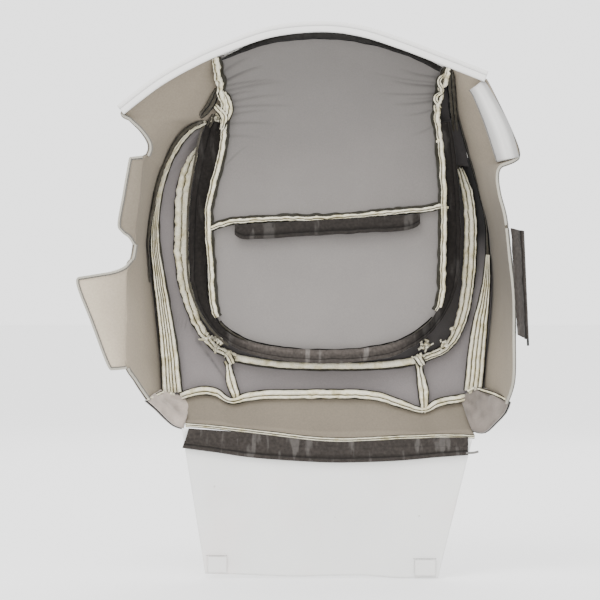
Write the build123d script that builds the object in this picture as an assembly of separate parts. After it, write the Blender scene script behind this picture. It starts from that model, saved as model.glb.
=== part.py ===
from build123d import *
import math
import os

# The trim cover of a vehicle seat's backrest, seen from its lining side, spread open as it hangs.
# X runs across the seat, +Z up the backrest, and +Y towards the passenger. The foam pad fills
# the space on the -Y side. The origin is on the lining face of the lower insert, where the pad
# bears on it.

# ---- Driving dimensions, in millimetres

FOAM = 5.0              # scrim-backed foam laminated behind the outer leather
LEATHER = 1.3           # outer leather
PLY_GAP = 0.3           # between foam and leather
LINING = 2.4            # lined side boxing, felt and scrim
GAP = 0.8               # between neighbouring panels and seams
CURL_START = 140.0      # height at which the insert starts to curl over the top of the pad
CURL_RADIUS = 230.0
CURL_ANGLE = 58.0       # more than the outline needs, which trims it
ALLOWANCE = 8.0         # how far a seam's allowances stand off the lining
SEAM_BASE = 0.4         # where they start, clear of the panels
SLEEVE = 1.4            # thickness of the fleece listing
TUNNEL_RADIUS = 3.0     # rod tunnel at the free edge of a listing
ROD_RADIUS = 1.5
ROD_FIT = 0.3           # radial room between a rod and its tunnel
BAND_HEIGHT = 14.0      # rolled white hem along the top
BAND_THICKNESS = 4.0
FLAP = 2.2              # pull-through flap, leather on scrim
RETAINER = 2.2          # plastic retainer strip sewn along the free edge of an ear
RETAINER_WIDTH = 7.0
STEPS = 3               # stations between two set points of a rail

PAD = Vector(0, -400, 60)       # a point far inside the pad's side, which every lining faces
FORWARD = Vector(0, -1, 0)      # off the lining, towards the pad

# ---- Seams, as (x, y, z, half width), each from its first end to its last

INSERT_EDGE = [
    (-138, 293), (-134, 262), (-129, 232), (-131, 200), (-135, 168), (-143, 138), (-150, 105),
    (-150, 70), (-147, 30), (-145, -10), (-138, -37), (-120, -55), (-92, -68), (-50, -76),
    (0, -79), (50, -76), (95, -66), (125, -48), (142, -30), (150, -4), (151, 40), (152, 90),
    (151, 140), (148, 180), (143, 222), (145, 252), (155, 281),
]
INSERT_SEAM_HALF = 3.6
INSERT_TOP = [(-127, 291), (-70, 309), (-1, 314), (55, 309), (106, 295), (145, 277)]
CROSS_SEAM = [(-143, 80), (-112, 88), (-58, 91), (3, 92), (84, 99), (146, 105)]
CROSS_SEAM_HALF = 3.2

BOLSTER_CREST = [
    (-163, 20, 183, 4.0), (-175, 22, 160, 7.0), (-183, 22, 125, 8.5), (-185, 22, 80, 8.5),
    (-184, 22, 34, 8.5), (-177, 22, -7, 8.0), (-165, 22, -42, 6.5), (-146, 22, -70, 5.2),
    (-116, 22, -87, 4.5), (-58, 22, -96, 4.5), (6, 22, -98, 4.5), (80, 22, -96, 4.5),
    (124, 22, -89, 5.0), (156, 22, -74, 5.2), (173, 22, -46, 7.0), (182, 22, -8, 8.0),
    (186, 22, 36, 8.5), (187, 22, 90, 8.0), (182, 22, 129, 7.0), (173, 20, 157, 4.0),
]
OUTER_LEFT = [
    (-152, -3, 214, 3.2), (-175, 2, 203, 3.9), (-191, 6, 182, 3.9), (-208, 10, 148, 3.9),
    (-218, 10, 112, 3.6), (-221, 10, 64, 5.2), (-215, 10, 19, 7.8), (-206, 10, -32, 10.4),
    (-200, 10, -77, 12.0), (-197, 10, -132, 12.5),
]
OUTER_RIGHT = [
    (163, -26, 254, 2.0), (171, -8, 218, 2.0), (186, 5, 167, 2.0), (199, 10, 122, 2.0),
    (207, 10, 84, 2.0), (210, 10, 45, 2.2), (208, 10, 0, 5.2), (200, 10, -52, 9.8),
    (193, 10, -98, 11.0), (190, 10, -130, 11.0),
]
OUTER_BOTTOM = [
    (-178, 10, -140, 4.5), (-158, 10, -131, 5.2), (-140, 10, -132, 4.8), (-121, 10, -143, 3.9),
    (-90, 10, -136, 5.6), (-20, 10, -134, 5.8), (58, 10, -135, 5.6), (92, 10, -145, 4.9),
    (125, 10, -154, 3.9), (146, 10, -145, 4.9), (170, 10, -142, 4.5),
]
LEFT_GORE = [(-126, 21, -98, 3.9), (-123, 18, -112, 5.4), (-118, 14, -134, 4.8)]
RIGHT_GORE = [(121, 21, -100, 4.2), (124, 17, -122, 5.4), (126, 13, -145, 4.4)]
PIPING = [(-176, -174), (-96, -182), (6, -194), (95, -189), (190, -185)]
PIPING_Y = -21.0
PIPING_HALF = 2.2

# ---- Side and top walls, as pairs of an inner point at the seam and an outer point at the rim

LEFT_WALL = [
    ((-146, -54, 284), (-162, -70, 278)), ((-141, -36, 262), (-200, -69, 256)),
    ((-137, -19, 240), (-250, -66, 226)), ((-142, -7, 224), (-247, -65, 213)),
    ((-163, -1, 216), (-234, -61, 202)), ((-186, 4, 203), (-225, -56, 188)),
    ((-201, 8, 178), (-223, -55, 172)), ((-215, 9, 146), (-228, -56, 148)),
    ((-225, 9, 112), (-233, -57, 112)), ((-229, 9, 64), (-240, -56, 62)),
    ((-226, 9, 19), (-245, -57, 18)), ((-220, 9, -32), (-247, -57, -34)),
    ((-215, 9, -77), (-248, -55, -84)), ((-212, 9, -112), (-238, -46, -116)),
    ((-211, 8, -138), (-222, -32, -137)),
]
RIGHT_WALL = [
    ((165, -45, 272), (192, -78, 256)), ((167, -28, 252), (206, -86, 232)),
    ((175, -10, 220), (223, -94, 198)), ((185, 1, 190), (234, -99, 168)),
    ((191, 5, 168), (217, -93, 156)), ((197, 8, 148), (212, -90, 140)),
    ((203, 9, 122), (216, -94, 112)), ((211, 9, 84), (221, -98, 84)),
    ((216, 9, 45), (226, -102, 40)), ((217, 9, 0), (231, -102, -8)),
    ((214, 9, -52), (231, -100, -60)), ((209, 9, -98), (232, -88, -112)),
    ((206, 8, -130), (225, -56, -144)),
]
LEFT_GUSSET = [((-211, 8, -141), (-219, -30, -142)), ((-196, 8, -150), (-204, -25, -158)),
               ((-182, 8, -150), (-188, -22, -170))]
RIGHT_GUSSET = [((205, 8, -134), (223, -52, -150)), ((192, 8, -147), (212, -38, -166)),
                ((177, 8, -151), (194, -23, -181))]
TOP_BAND = [(-256, -73, 224), (-205, -77, 263), (-132, -86, 299), (-70, -91, 320),
            (-8, -91, 326), (42, -91, 321), (92, -93, 306), (142, -93, 287), (198, -92, 264)]

# ---- Hinged pieces, each hung on a straight fold line

FLAP_FOLD = ((-176, -24, -199), (185, -24, -199))
FLAP_FOOT = ((-153, -24, -361), (143, -24, -366))
TAB_LEFT = ((-151, -340), (-124, -340), (-126, -360), (-148, -359.5))
TAB_RIGHT = ((112, -343), (141, -344), (140, -364), (114, -363))
TAB_THICKNESS = 1.6
TAB_Y = -27.2
BOTTOM_LISTING = [(-174, -189, -201), (-96, -195, -214), (6, -203, -220), (95, -202, -218),
                  (181, -195, -211)]     # x, top edge, free edge
BOTTOM_LISTING_Y = -31.0
ROD_OVERHANG = 8.0      # length of rod that shows past its tunnel
CENTRE_LISTING = ((-116, -10.5, 79), (121, -10.5, 93))
CENTRE_LISTING_DROP = 16.0
RIGHT_LISTING = ((229, -106, 75), (237, -105, -56))
RIGHT_LISTING_FREE = ((245, -90, 73), (251, -88, -62))
LEFT_UPPER_EAR = [((-230, -61, 160), (-247, -67, 161)), ((-238, -62, 78), (-261, -70, 80))]
LEFT_LOWER_EAR = [((-249.5, -62, 28), (-267, -67, 22)), ((-250, -62, 10), (-311, -77, 9)),
                  ((-252, -61, -92), (-272, -68, -99))]
RIGHT_UPPER_EAR = [((198, -86, 247), (185, -69, 244)), ((234, -105, 171), (213, -76, 166))]

U_LISTING = [
    (-153, -5, 172, 6.0), (-163, 0, 140, 8.0), (-165, 1.5, 100, 9.0), (-165, 1.5, 53, 9.0),
    (-162, 1.5, 10, 9.0), (-156, 1.5, -24, 7.6), (-142, 1.5, -53, 5.6), (-108, 1.5, -74, 4.6),
    (-58, 1.5, -85, 4.2), (6, 1.5, -88, 4.2), (71, 1.5, -84, 4.2), (114, 1.5, -72, 4.8),
    (146, 1.5, -46, 5.2), (162, 1.5, -9, 6.0), (165, 1.5, 40, 7.0), (167, 1.5, 90, 7.4),
    (165, 0, 135, 6.0), (160, -6, 172, 4.5),
]
U_SLEEVE_THICKNESS = 4.6
U_POCKET_THICKNESS = 2.2
U_WALL = 1.4            # fleece round the wire's pocket
U_WIRE_HALF = 0.8


# ---- Geometry helpers

def point(values):
    return Vector(*values)


def lining_y(z):
    """Depth of the insert's lining face at height z: flat, then curling towards the pad."""
    rise = max(z - CURL_START, 0)
    return math.sqrt(CURL_RADIUS**2 - rise**2) - CURL_RADIUS


def off_insert(p):
    """Unit direction off the insert's lining face at point p."""
    if p.Z <= CURL_START:
        return FORWARD
    return (Vector(p.X, -CURL_RADIUS, CURL_START) - p).normalized()


def off_panel(p):
    return FORWARD


def smooth(rows, steps=STEPS):
    """Rows of numbers with Catmull-Rom rows added between them."""
    result = []
    for i in range(len(rows) - 1):
        before, start, end, after = (
            rows[max(i - 1, 0)], rows[i], rows[i + 1], rows[min(i + 2, len(rows) - 1)])
        for step in range(steps):
            t = step / steps
            result.append(tuple(
                0.5 * (2 * q + (r - p) * t + (2 * p - 5 * q + 4 * r - s) * t**2
                       + (3 * q - p - 3 * r + s) * t**3)
                for p, q, r, s in zip(before, start, end, after)))
    result.append(tuple(rows[-1]))
    return result


def resample(points, count):
    """The same polyline as evenly spaced points."""
    run = [0.0]
    for a, b in zip(points, points[1:]):
        run.append(run[-1] + (b - a).length)
    result = []
    k = 0
    for i in range(count):
        want = run[-1] * i / (count - 1)
        while k < len(points) - 2 and run[k + 1] < want:
            k += 1
        t = (want - run[k]) / (run[k + 1] - run[k])
        result.append(points[k] + (points[k + 1] - points[k]) * t)
    return result


def headings(points):
    last = len(points) - 1
    return [(points[min(i + 1, last)] - points[max(i - 1, 0)]).normalized()
            for i in range(last + 1)]


def beside(seam, side, gap=GAP):
    """The line where a panel meets a seam, on its left (side 1) or right (side -1) in the front
    view, clear of the seam's allowance."""
    points = [point(row[:3]) for row in seam]
    result = []
    for p, heading, row in zip(points, headings(points), seam):
        flat = Vector(heading.X, 0, heading.Z).normalized()
        result.append(p + Vector(-flat.Z, 0, flat.X) * side * (row[3] + gap))
    return result


def loft_quads(quads):
    return Solid.make_loft([Wire.make_polygon(quad, close=True) for quad in quads], ruled=True)


def panel(sections, near, far):
    """A ply between two rails, from near to far outside the lining face."""
    middles = [(a + b) * 0.5 for a, b in sections]
    quads = []
    for (a, b), middle, heading in zip(sections, middles, headings(middles)):
        out = heading.cross(b - a).normalized()
        if out.dot(middle - PAD) < 0:
            out = -out
        quads.append([a + out * near, b + out * near, b + out * far, a + out * far])
    return loft_quads(quads)


def between(rail_a, rail_b, count=16):
    return list(zip(resample(rail_a, count), resample(rail_b, count)))


def ridge(seam, base, top, off=off_panel):
    """A seam allowance along a seam, from base to top off the lining face."""
    points = [point(row[:3]) for row in seam]
    quads = []
    for p, heading, row in zip(points, headings(points), seam):
        up = off(p)
        across = heading.cross(up).normalized() * row[3]
        quads.append([p - across + up * base, p + across + up * base,
                      p + across + up * top, p - across + up * top])
    return loft_quads(quads)


def plate(outline, y_front, y_back):
    """A flat piece with an outline of (x, z) points, between two depths."""
    face = Face(Wire.make_polygon([Vector(x, y_front, z) for x, z in outline], close=True))
    return Solid.extrude(face, Vector(0, y_back - y_front, 0))


def rod(start, end, radius):
    axis = end - start
    return Solid.make_cylinder(radius, axis.length, Plane(start, z_dir=axis))


def tunnel(start, end):
    return rod(start, end, TUNNEL_RADIUS) - rod(start, end, ROD_RADIUS + ROD_FIT)


def listing(fold, free):
    """A fleece strip hung on a fold line, with a rod tunnel along its free edge."""
    hems = [b + (a - b).normalized() * (TUNNEL_RADIUS - 0.6) for a, b in zip(fold, free)]
    return panel(list(zip(fold, hems)), -SLEEVE / 2, SLEEVE / 2) + tunnel(*free)


# ---- Insert

def insert_ply(near, far):
    """Insert panel without its outline: flat below, curling over the pad above."""
    centre = (-CURL_RADIUS, CURL_START)
    foot = -120
    inner = CenterArc(centre, CURL_RADIUS + near, 0, CURL_ANGLE)
    outer = CenterArc(centre, CURL_RADIUS + far, 0, CURL_ANGLE)
    edges = [Line((near, foot), inner @ 0), inner, Line(inner @ 1, outer @ 1), outer,
             Line(outer @ 0, (far, foot)), Line((far, foot), (near, foot))]
    return extrude(Plane.YZ * make_face(edges), amount=200, both=True)


def prism(outline):
    """Everything in front of and behind an (x, z) outline."""
    return plate(outline, -160, 60)


def insert_outline():
    edge = [(x, 0, z, INSERT_SEAM_HALF) for x, z in smooth(INSERT_EDGE)]
    inside = [(p.X, p.Z) for p in beside(edge, 1)]
    return inside + list(reversed(smooth(INSERT_TOP)))


def cross_seam_line():
    return [(x, 0, z, CROSS_SEAM_HALF) for x, z in smooth(CROSS_SEAM)]


def build_insert():
    line = cross_seam_line()
    above = [(p.X, p.Z) for p in beside(line, 1)]
    below = [(p.X, p.Z) for p in beside(line, -1)]
    wide, high, low = 200, 400, -150
    upper_cut = prism([(-wide, above[0][1]), *above, (wide, above[-1][1]), (wide, high), (-wide, high)])
    lower_cut = prism([(-wide, below[0][1]), *below, (wide, below[-1][1]), (wide, low), (-wide, low)])
    outline = prism(insert_outline())
    for name, near, far in (("backing", 0, FOAM), ("face", FOAM + PLY_GAP, FOAM + PLY_GAP + LEATHER)):
        ply = insert_ply(near, far) & outline
        save(ply & upper_cut, f"insert_upper_{name}")
        save(ply & lower_cut, f"insert_lower_{name}")


def build_insert_seams():
    edge = [(x, lining_y(z), z, INSERT_SEAM_HALF) for x, z in smooth(INSERT_EDGE)]
    low_left = next(i for i, row in enumerate(edge) if row[2] < -30)
    low_right = next(i for i, row in enumerate(edge) if row[0] > 136)
    runs = {"insert_left_seam": edge[:low_left], "insert_bottom_seam": edge[low_left:low_right],
            "insert_right_seam": edge[low_right:]}
    for name, run in runs.items():
        save(ridge(run, SEAM_BASE, ALLOWANCE, off_insert), name)
    save(ridge(cross_seam_line()[1:-1], SEAM_BASE, ALLOWANCE - 1), "cross_seam")


# ---- Bolsters, boxing and their seams

def save(shape, name):
    if isinstance(shape, (list, ShapeList)):
        shape = Compound(children=list(shape))
    export_step(shape, f"parts/{name}.step")


def save_pair(sections, name):
    save(panel(sections, 0, FOAM), f"{name}_backing")
    save(panel(sections, FOAM + PLY_GAP, FOAM + PLY_GAP + LEATHER), f"{name}_face")


def within(points, low, high, axis="X"):
    return [p for p in points if low <= getattr(p, axis) <= high]


def build_bolsters():
    crest = smooth(BOLSTER_CREST)
    insert_side = [(x, lining_y(z) + 2, z, INSERT_SEAM_HALF) for x, z in smooth(INSERT_EDGE)]
    insert_side = [row for row in insert_side if row[2] < 170]
    save_pair(between(beside(insert_side, -1), beside(crest, 1), 34), "inner_bolster")
    save(ridge(crest, SEAM_BASE, ALLOWANCE), "bolster_crest_seam")

    outside = beside(crest, -1)
    lowest = min(range(len(outside)), key=lambda i: outside[i].Z)
    bottom = beside(smooth(OUTER_BOTTOM), 1)
    left_in = beside(smooth(OUTER_LEFT), 1)
    right_in = beside(smooth(OUTER_RIGHT), -1)
    left_gore, right_gore = -124, 123
    half = 8
    left_crest = [p for p in outside[:lowest] if p.X < left_gore - half]
    right_crest = [p for p in outside[lowest:] if p.X > right_gore + half]
    left_outer = [p for p in left_in if p.Z < 196 and p.Z > -122]
    left_outer += within(bottom, -170, left_gore - half + 4)
    right_outer = within(bottom, right_gore + half, 160)
    right_outer += [p for p in reversed(right_in) if -122 < p.Z < 164]
    save_pair(between(left_crest, left_outer, 24), "left_bolster")
    save_pair(between(right_crest, right_outer, 24), "right_bolster")
    save_pair(between(within(outside, left_gore + half - 1, right_gore - half + 1),
                      within(bottom, left_gore + half + 2, right_gore - half + 2), 14), "lower_bolster")

    for name, seam in (("outer_left_seam", OUTER_LEFT), ("outer_right_seam", OUTER_RIGHT),
                       ("outer_bottom_seam", OUTER_BOTTOM), ("left_gore_seam", LEFT_GORE),
                       ("right_gore_seam", RIGHT_GORE)):
        save(ridge(smooth(seam), SEAM_BASE, ALLOWANCE), name)


def wall_sections(pairs):
    rows = smooth([a + b for a, b in pairs], 2)
    return [(point(row[:3]), point(row[3:])) for row in rows]


def build_boxing():
    for name, pairs in (("left_boxing", LEFT_WALL), ("right_boxing", RIGHT_WALL),
                        ("left_corner_gusset", LEFT_GUSSET), ("right_corner_gusset", RIGHT_GUSSET)):
        sections = wall_sections(pairs)
        save(panel(sections, 0, LINING), f"{name}_lining")
        save(panel(sections, LINING + PLY_GAP, LINING + PLY_GAP + LEATHER), f"{name}_face")
    top = beside(smooth(OUTER_BOTTOM), -1, 3 * GAP)
    foot = [point((x, PIPING_Y + 2, z + PIPING_HALF + GAP)) for x, z in smooth(PIPING)]
    sections = between(within(top, -172, 166), within(foot, -174, 178), 16)
    save(panel(sections, 0, LINING), "bottom_boxing_lining")
    save(panel(sections, LINING + PLY_GAP, LINING + PLY_GAP + LEATHER), "bottom_boxing_face")
    save(ridge([(x, PIPING_Y, z, PIPING_HALF) for x, z in smooth(PIPING)], -2, 2), "bottom_piping")


def build_top():
    rows = smooth(TOP_BAND)
    half = BAND_HEIGHT / 2
    points = [point(row) for row in rows]
    sections = []
    for p, heading in zip(points, headings(points)):
        rise = Vector(-heading.Z, 0, heading.X).normalized() * half
        sections.append((p - rise, p + rise))
    save(panel(sections, -BAND_THICKNESS / 2, BAND_THICKNESS / 2), "top_band")
    tape = []
    for x, z in smooth(INSERT_TOP):
        low = Vector(x, lining_y(z) - 1, z + GAP)
        tape.append((low, low + Vector(0, -0.5, 9)))
    save(panel(tape, 0, LEATHER), "top_tape")


# ---- Hinged pieces

def build_flap():
    (left, right), (foot_left, foot_right) = FLAP_FOLD, FLAP_FOOT
    y = left[1]
    outline = [(left[0] + 1, left[2]), (right[0] - 1, right[2]), (foot_right[0], foot_right[2]),
               (foot_left[0], foot_left[2])]
    save(plate(outline, y - FLAP / 2, y + FLAP / 2), "pull_through_flap")
    for name, tab in (("left_flap_tab", TAB_LEFT), ("right_flap_tab", TAB_RIGHT)):
        save(plate(tab, TAB_Y - TAB_THICKNESS / 2, TAB_Y + TAB_THICKNESS / 2), name)


def build_bottom_listing():
    y = BOTTOM_LISTING_Y
    rows = smooth(BOTTOM_LISTING)
    hem = 2 * TUNNEL_RADIUS - 0.5
    sheet = panel([(Vector(x, y, top), Vector(x, y, free + hem)) for x, top, free in rows], 0, SLEEVE)

    def along_hem(half, rows=rows):
        line = [(x, y + SLEEVE / 2, free + TUNNEL_RADIUS, half) for x, top, free in rows]
        return ridge(line, -half, half)

    last, end = rows[-2], rows[-1]
    reach = 1 + ROD_OVERHANG / (end[0] - last[0])
    tip = tuple(a + (b - a) * reach for a, b in zip(last, end))
    save(sheet + (along_hem(TUNNEL_RADIUS) - along_hem(ROD_RADIUS + ROD_FIT)), "bottom_listing_sleeve")
    save(along_hem(ROD_RADIUS, rows + [tip]), "bottom_listing_rod")


def build_listings():
    build_bottom_listing()
    fold = [point(p) for p in CENTRE_LISTING]
    free = [p - Vector(0, 0, CENTRE_LISTING_DROP) for p in fold]
    save(listing(fold, free), "centre_listing_sleeve")
    save(rod(*free, ROD_RADIUS), "centre_listing_rod")

    fold = [point(p) for p in RIGHT_LISTING]
    free = [point(p) for p in RIGHT_LISTING_FREE]
    save(listing(fold, free), "right_listing_sleeve")
    past = (free[1] - free[0]).normalized() * ROD_OVERHANG
    save(rod(free[0], free[1] + past, ROD_RADIUS), "right_listing_rod")

    rows = smooth(U_LISTING)
    low = (U_SLEEVE_THICKNESS - U_POCKET_THICKNESS) / 2
    pocket = [(*row[:3], row[3] - U_WALL) for row in rows]
    sleeve = ridge(rows, 0, U_SLEEVE_THICKNESS) - ridge(pocket, low, low + U_POCKET_THICKNESS)
    save(sleeve, "u_listing_sleeve")
    middle = U_SLEEVE_THICKNESS / 2
    wire = [(*row[:3], U_WIRE_HALF) for row in rows[1:-1]]
    save(ridge(wire, middle - U_WIRE_HALF, middle + U_WIRE_HALF), "u_listing_wire")


def build_ears():
    for name, pairs in (("left_upper_ear", LEFT_UPPER_EAR), ("left_lower_ear", LEFT_LOWER_EAR),
                        ("right_upper_ear", RIGHT_UPPER_EAR)):
        save(panel([(point(a), point(b)) for a, b in pairs], -LINING, 0), name)
    for name, pairs in (("left_upper_retainer", LEFT_UPPER_EAR),
                        ("left_lower_retainer", LEFT_LOWER_EAR[1:])):
        edges = [(point(b), (point(a) - point(b)).normalized()) for a, b in pairs]
        strip = [(b + inward * RETAINER_WIDTH, b + inward * 0.5) for b, inward in edges]
        front = -LINING - PLY_GAP
        save(panel(strip, front - RETAINER, front), name)


os.makedirs("parts", exist_ok=True)
build_insert()
build_insert_seams()
build_bolsters()
build_boxing()
build_top()
build_flap()
build_listings()
build_ears()
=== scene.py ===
import math

import bmesh
import bpy
import numpy as np
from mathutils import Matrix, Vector, noise


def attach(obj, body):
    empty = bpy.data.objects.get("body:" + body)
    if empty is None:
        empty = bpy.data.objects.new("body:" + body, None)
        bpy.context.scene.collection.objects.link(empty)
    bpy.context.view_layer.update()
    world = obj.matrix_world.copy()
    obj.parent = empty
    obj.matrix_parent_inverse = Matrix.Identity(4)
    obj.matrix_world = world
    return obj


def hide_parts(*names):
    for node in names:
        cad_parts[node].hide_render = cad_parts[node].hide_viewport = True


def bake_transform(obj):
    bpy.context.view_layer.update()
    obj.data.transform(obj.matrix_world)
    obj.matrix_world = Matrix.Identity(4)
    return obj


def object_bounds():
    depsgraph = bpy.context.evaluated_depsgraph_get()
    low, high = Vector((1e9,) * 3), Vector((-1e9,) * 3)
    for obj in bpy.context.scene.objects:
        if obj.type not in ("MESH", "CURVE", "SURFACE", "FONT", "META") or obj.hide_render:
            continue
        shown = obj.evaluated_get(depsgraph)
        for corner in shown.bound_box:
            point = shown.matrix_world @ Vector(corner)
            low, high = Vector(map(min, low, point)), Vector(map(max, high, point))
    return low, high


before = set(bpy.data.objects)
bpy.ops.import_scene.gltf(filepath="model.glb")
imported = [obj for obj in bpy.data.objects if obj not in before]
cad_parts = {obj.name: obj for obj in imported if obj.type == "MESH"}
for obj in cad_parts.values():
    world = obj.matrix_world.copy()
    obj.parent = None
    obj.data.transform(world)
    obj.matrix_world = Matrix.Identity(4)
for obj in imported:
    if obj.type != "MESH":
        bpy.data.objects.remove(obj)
cad_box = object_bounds()

# Lengths are in millimetres in the same frame as the CAD, and become metres where a mesh is made.
# X runs across the seat, Z up the backrest, and the lining faces -Y.
MM = 0.001

FOAM = 5.0              # foam and scrim behind the leather
LEATHER = 1.3
PLY_GAP = 0.3
LINING = 2.4            # lined side boxing
CURL_START = 140.0      # the insert curls towards the pad above this height
CURL_RADIUS = 230.0
EDGE_SHADE_WIDTH = 9.0        # how far the painted shade along a panel's long edges fades in
INNER_FACE_SHADE = 0.05  # leather's hidden face, painted near black as the shade seen through gaps, against its shown face
PLY_AND_SHADE_TONE = 0.035        # the dark ply under an allowance, painted near black as the ply and as the shade beside the seam
STEP = 3.0              # spacing of a panel's points
PAD = np.array([0.0, -400.0, 60.0])
FORWARD = np.array([0.0, -1.0, 0.0])

# ---- Seams, as (x, z) on the insert's face or as (x, y, z, half width)

INSERT_EDGE = [
    (-138, 293), (-134, 262), (-129, 232), (-131, 200), (-135, 168), (-143, 138), (-150, 105),
    (-150, 70), (-147, 30), (-145, -10), (-138, -37), (-120, -55), (-92, -68), (-50, -76),
    (0, -79), (50, -76), (95, -66), (125, -48), (142, -30), (150, -4), (151, 40), (152, 90),
    (151, 140), (148, 180), (143, 222), (145, 252), (155, 281),
]
INSERT_TOP = [(-138, 293), (-127, 295), (-70, 313), (-1, 318), (55, 312), (106, 298), (145, 281),
              (155, 281)]
CROSS_SEAM = [(-150, 78), (-128, 85), (-112, 88), (-58, 91), (3, 92), (84, 99), (120, 102),
              (152, 108)]
BOLSTER_CREST = [
    (-163, 20, 183, 4.0), (-175, 22, 160, 7.6), (-183, 22, 125, 9.4), (-185, 22, 80, 9.4),
    (-184, 22, 34, 9.2), (-177, 22, -7, 8.0), (-165, 22, -42, 6.5), (-146, 22, -70, 5.2),
    (-116, 22, -87, 4.5), (-58, 22, -96, 4.5), (6, 22, -98, 4.5), (80, 22, -96, 4.5),
    (124, 22, -89, 5.0), (156, 22, -74, 5.2), (173, 22, -46, 7.0), (182, 22, -8, 8.0),
    (186, 22, 36, 8.5), (187, 22, 90, 8.0), (182, 22, 129, 7.0), (173, 20, 157, 4.0),
]
OUTER_LEFT = [
    (-152, -6, 214, 2.4), (-173, -1, 203, 2.3), (-190, 3, 182, 2.3), (-206, 8, 148, 2.6),
    (-215, 10, 112, 3.2), (-219, 10, 64, 5.2), (-214, 10, 19, 7.0), (-207, 10, -32, 8.8),
    (-201, 10, -77, 10.6), (-197, 10, -132, 12.2),
]
OUTER_RIGHT = [
    (163, -26, 254, 0.7), (171, -8, 218, 0.7), (186, 5, 167, 0.7), (199, 10, 122, 0.7),
    (207, 10, 84, 0.8), (209, 10, 45, 2.2), (206, 10, 0, 5.4), (198, 10, -52, 9.8),
    (193, 10, -98, 11.0), (190, 10, -130, 11.0),
]
OUTER_BOTTOM = [
    (-186, 10, -137, 4.5), (-172, 10, -132, 4.8), (-158, 10, -130, 5.2), (-140, 10, -132, 4.8),
    (-121, 10, -143, 3.6), (-90, 10, -136, 5.6), (-20, 10, -134, 5.8), (58, 10, -135, 5.6),
    (92, 10, -145, 4.9), (125, 10, -154, 3.6), (146, 10, -145, 4.9), (180, 10, -138, 4.5),
]
LEFT_GORE = [(-126, 21, -92, 4.4), (-124, 19, -102, 3.8), (-121, 17, -118, 6.2),
             (-116, 13, -134, 5.2), (-114, 11, -141, 4.0)]
RIGHT_GORE = [(121, 21, -95, 4.6), (122, 19, -106, 4.0), (126, 16, -128, 6.4),
              (127, 13, -150, 4.8), (126, 11, -160, 3.6)]
PIPING = [(-178, -21, -172, 2.4), (-140, -21, -175, 2.4), (-96, -21, -180, 2.6),
          (6, -21, -191, 2.8), (95, -21, -188, 2.6), (150, -21, -186, 2.4), (190, -21, -187, 2.2)]

# ---- Walls, flanges and gussets, as pairs of a point on the seam or fold and one on the free edge

LEFT_WALL = [
    ((-139, -58, 292), (-141, -80, 294)), ((-136, -44, 272), (-176, -76, 277)),
    ((-131, -30, 248), (-212, -73, 256)), ((-131, -16, 228), (-255, -69, 224)),
    ((-140, -8, 218), (-246, -66, 213)), ((-163, -1, 210), (-233, -61, 201)),
    ((-181, 3, 196), (-223.5, -57, 188)), ((-193, 7, 179), (-221, -56, 178)),
    ((-204, 9, 156), (-224, -57, 168.5)), ((-209, 10, 145), (-229, -59, 162)),
    ((-220, 10, 112), (-233, -60.5, 118)), ((-226, 10, 64), (-238.5, -61, 74)),
    ((-226, 10, 45), (-240, -60, 54)), ((-225, 10, 30), (-243, -60.5, 38)),
    ((-223, 10, 12), (-249, -61.5, 25)), ((-218, 10, -32), (-250.5, -61.5, -34)),
    ((-213, 10, -77), (-251.5, -60.5, -90)), ((-211, 10, -112), (-239, -46, -116)),
    ((-210, 10, -132), (-224, -34, -140)),
]
RIGHT_WALL = [
    ((156, -50, 280), (198, -86, 262)), ((160, -34, 262), (206, -90, 245)),
    ((171, -8, 218), (226, -100, 200)), ((181, 1, 186), (237, -104, 169)),
    ((184, 4, 172), (231, -101, 160)), ((187, 5, 164), (216, -93, 154)),
    ((193, 8, 145), (211.5, -90, 141)), ((199, 10, 122), (214, -93, 118)),
    ((208, 10, 84), (221, -98, 88)), ((212, 10, 45), (226, -102, 40)),
    ((214, 10, 0), (231, -102, -8)), ((211, 10, -52), (231.5, -100, -60)),
    ((206, 10, -98), (232, -88, -112)), ((204, 10, -128), (226, -60, -142)),
]
LEFT_UPPER_EAR = [
    ((-224, -57.5, 168.5), (-246, -65.5, 165.5)), ((-229, -59.5, 160), (-247.5, -67, 157)),
    ((-233, -60.5, 118), (-254, -68, 120)), ((-238, -61, 78), (-260.5, -69.5, 82)),
    ((-238.5, -61, 72), (-255, -67, 71.5)), ((-239.5, -60.5, 64), (-247.5, -64, 66)),
    ((-240, -60, 56), (-241.5, -61, 57)),
]
LEFT_LOWER_EAR = [
    ((-243, -60.5, 38), (-245, -61.5, 36.5)), ((-246, -61, 31), (-252.5, -63.5, 28)),
    ((-248.5, -61.5, 25), (-267, -66.5, 22)), ((-249.5, -61.5, 17), (-299, -74, 16.5)),
    ((-250, -61.5, 6), (-311.5, -76.5, 9.5)), ((-250.5, -61.5, -34), (-294.5, -74, -38)),
    ((-251.3, -60.5, -86), (-273.5, -68.5, -94)), ((-251.5, -60.5, -93), (-266, -66, -100)),
    ((-250, -60, -98), (-251, -60.5, -99)),
]
RIGHT_FLANGE_FOLD = [(198, -88, 261), (207, -93, 246), (229, -103, 202), (240, -107, 164)]
RIGHT_FLANGE_FREE = [(181, -70, 249), (186, -73, 240), (200, -78, 203), (214, -79, 159)]
# Each ear's cloth: width, length, how it is held, and how much of that rectangle it fills
EAR_CLOTH = {"left_upper": (117, 25, "stretched", 0.72),
             "left_lower": (140, 66, "stretched", 0.55)}
LEFT_GUSSET = [
    ((-211, 9, -128), (-226, -36, -138)), ((-203, 9, -131), (-213, -30, -150)),
    ((-194, 9, -133), (-203, -26, -161)), ((-184, 9, -137), (-192, -23, -171)),
    ((-174, 8, -144), (-180, -22, -175)),
]
RIGHT_GUSSET = [
    ((204, 9, -126), (228, -58, -141)), ((198, 8, -125), (224, -52, -154)),
    ((191, 8, -126), (213, -40, -168)), ((183, 7, -131), (200, -28, -181)),
    ((174, 8, -140), (186, -20, -178)),
]

# ---- Band, flap and listings. The listing at the foot is (x, height of its seam, of its free edge)

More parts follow.
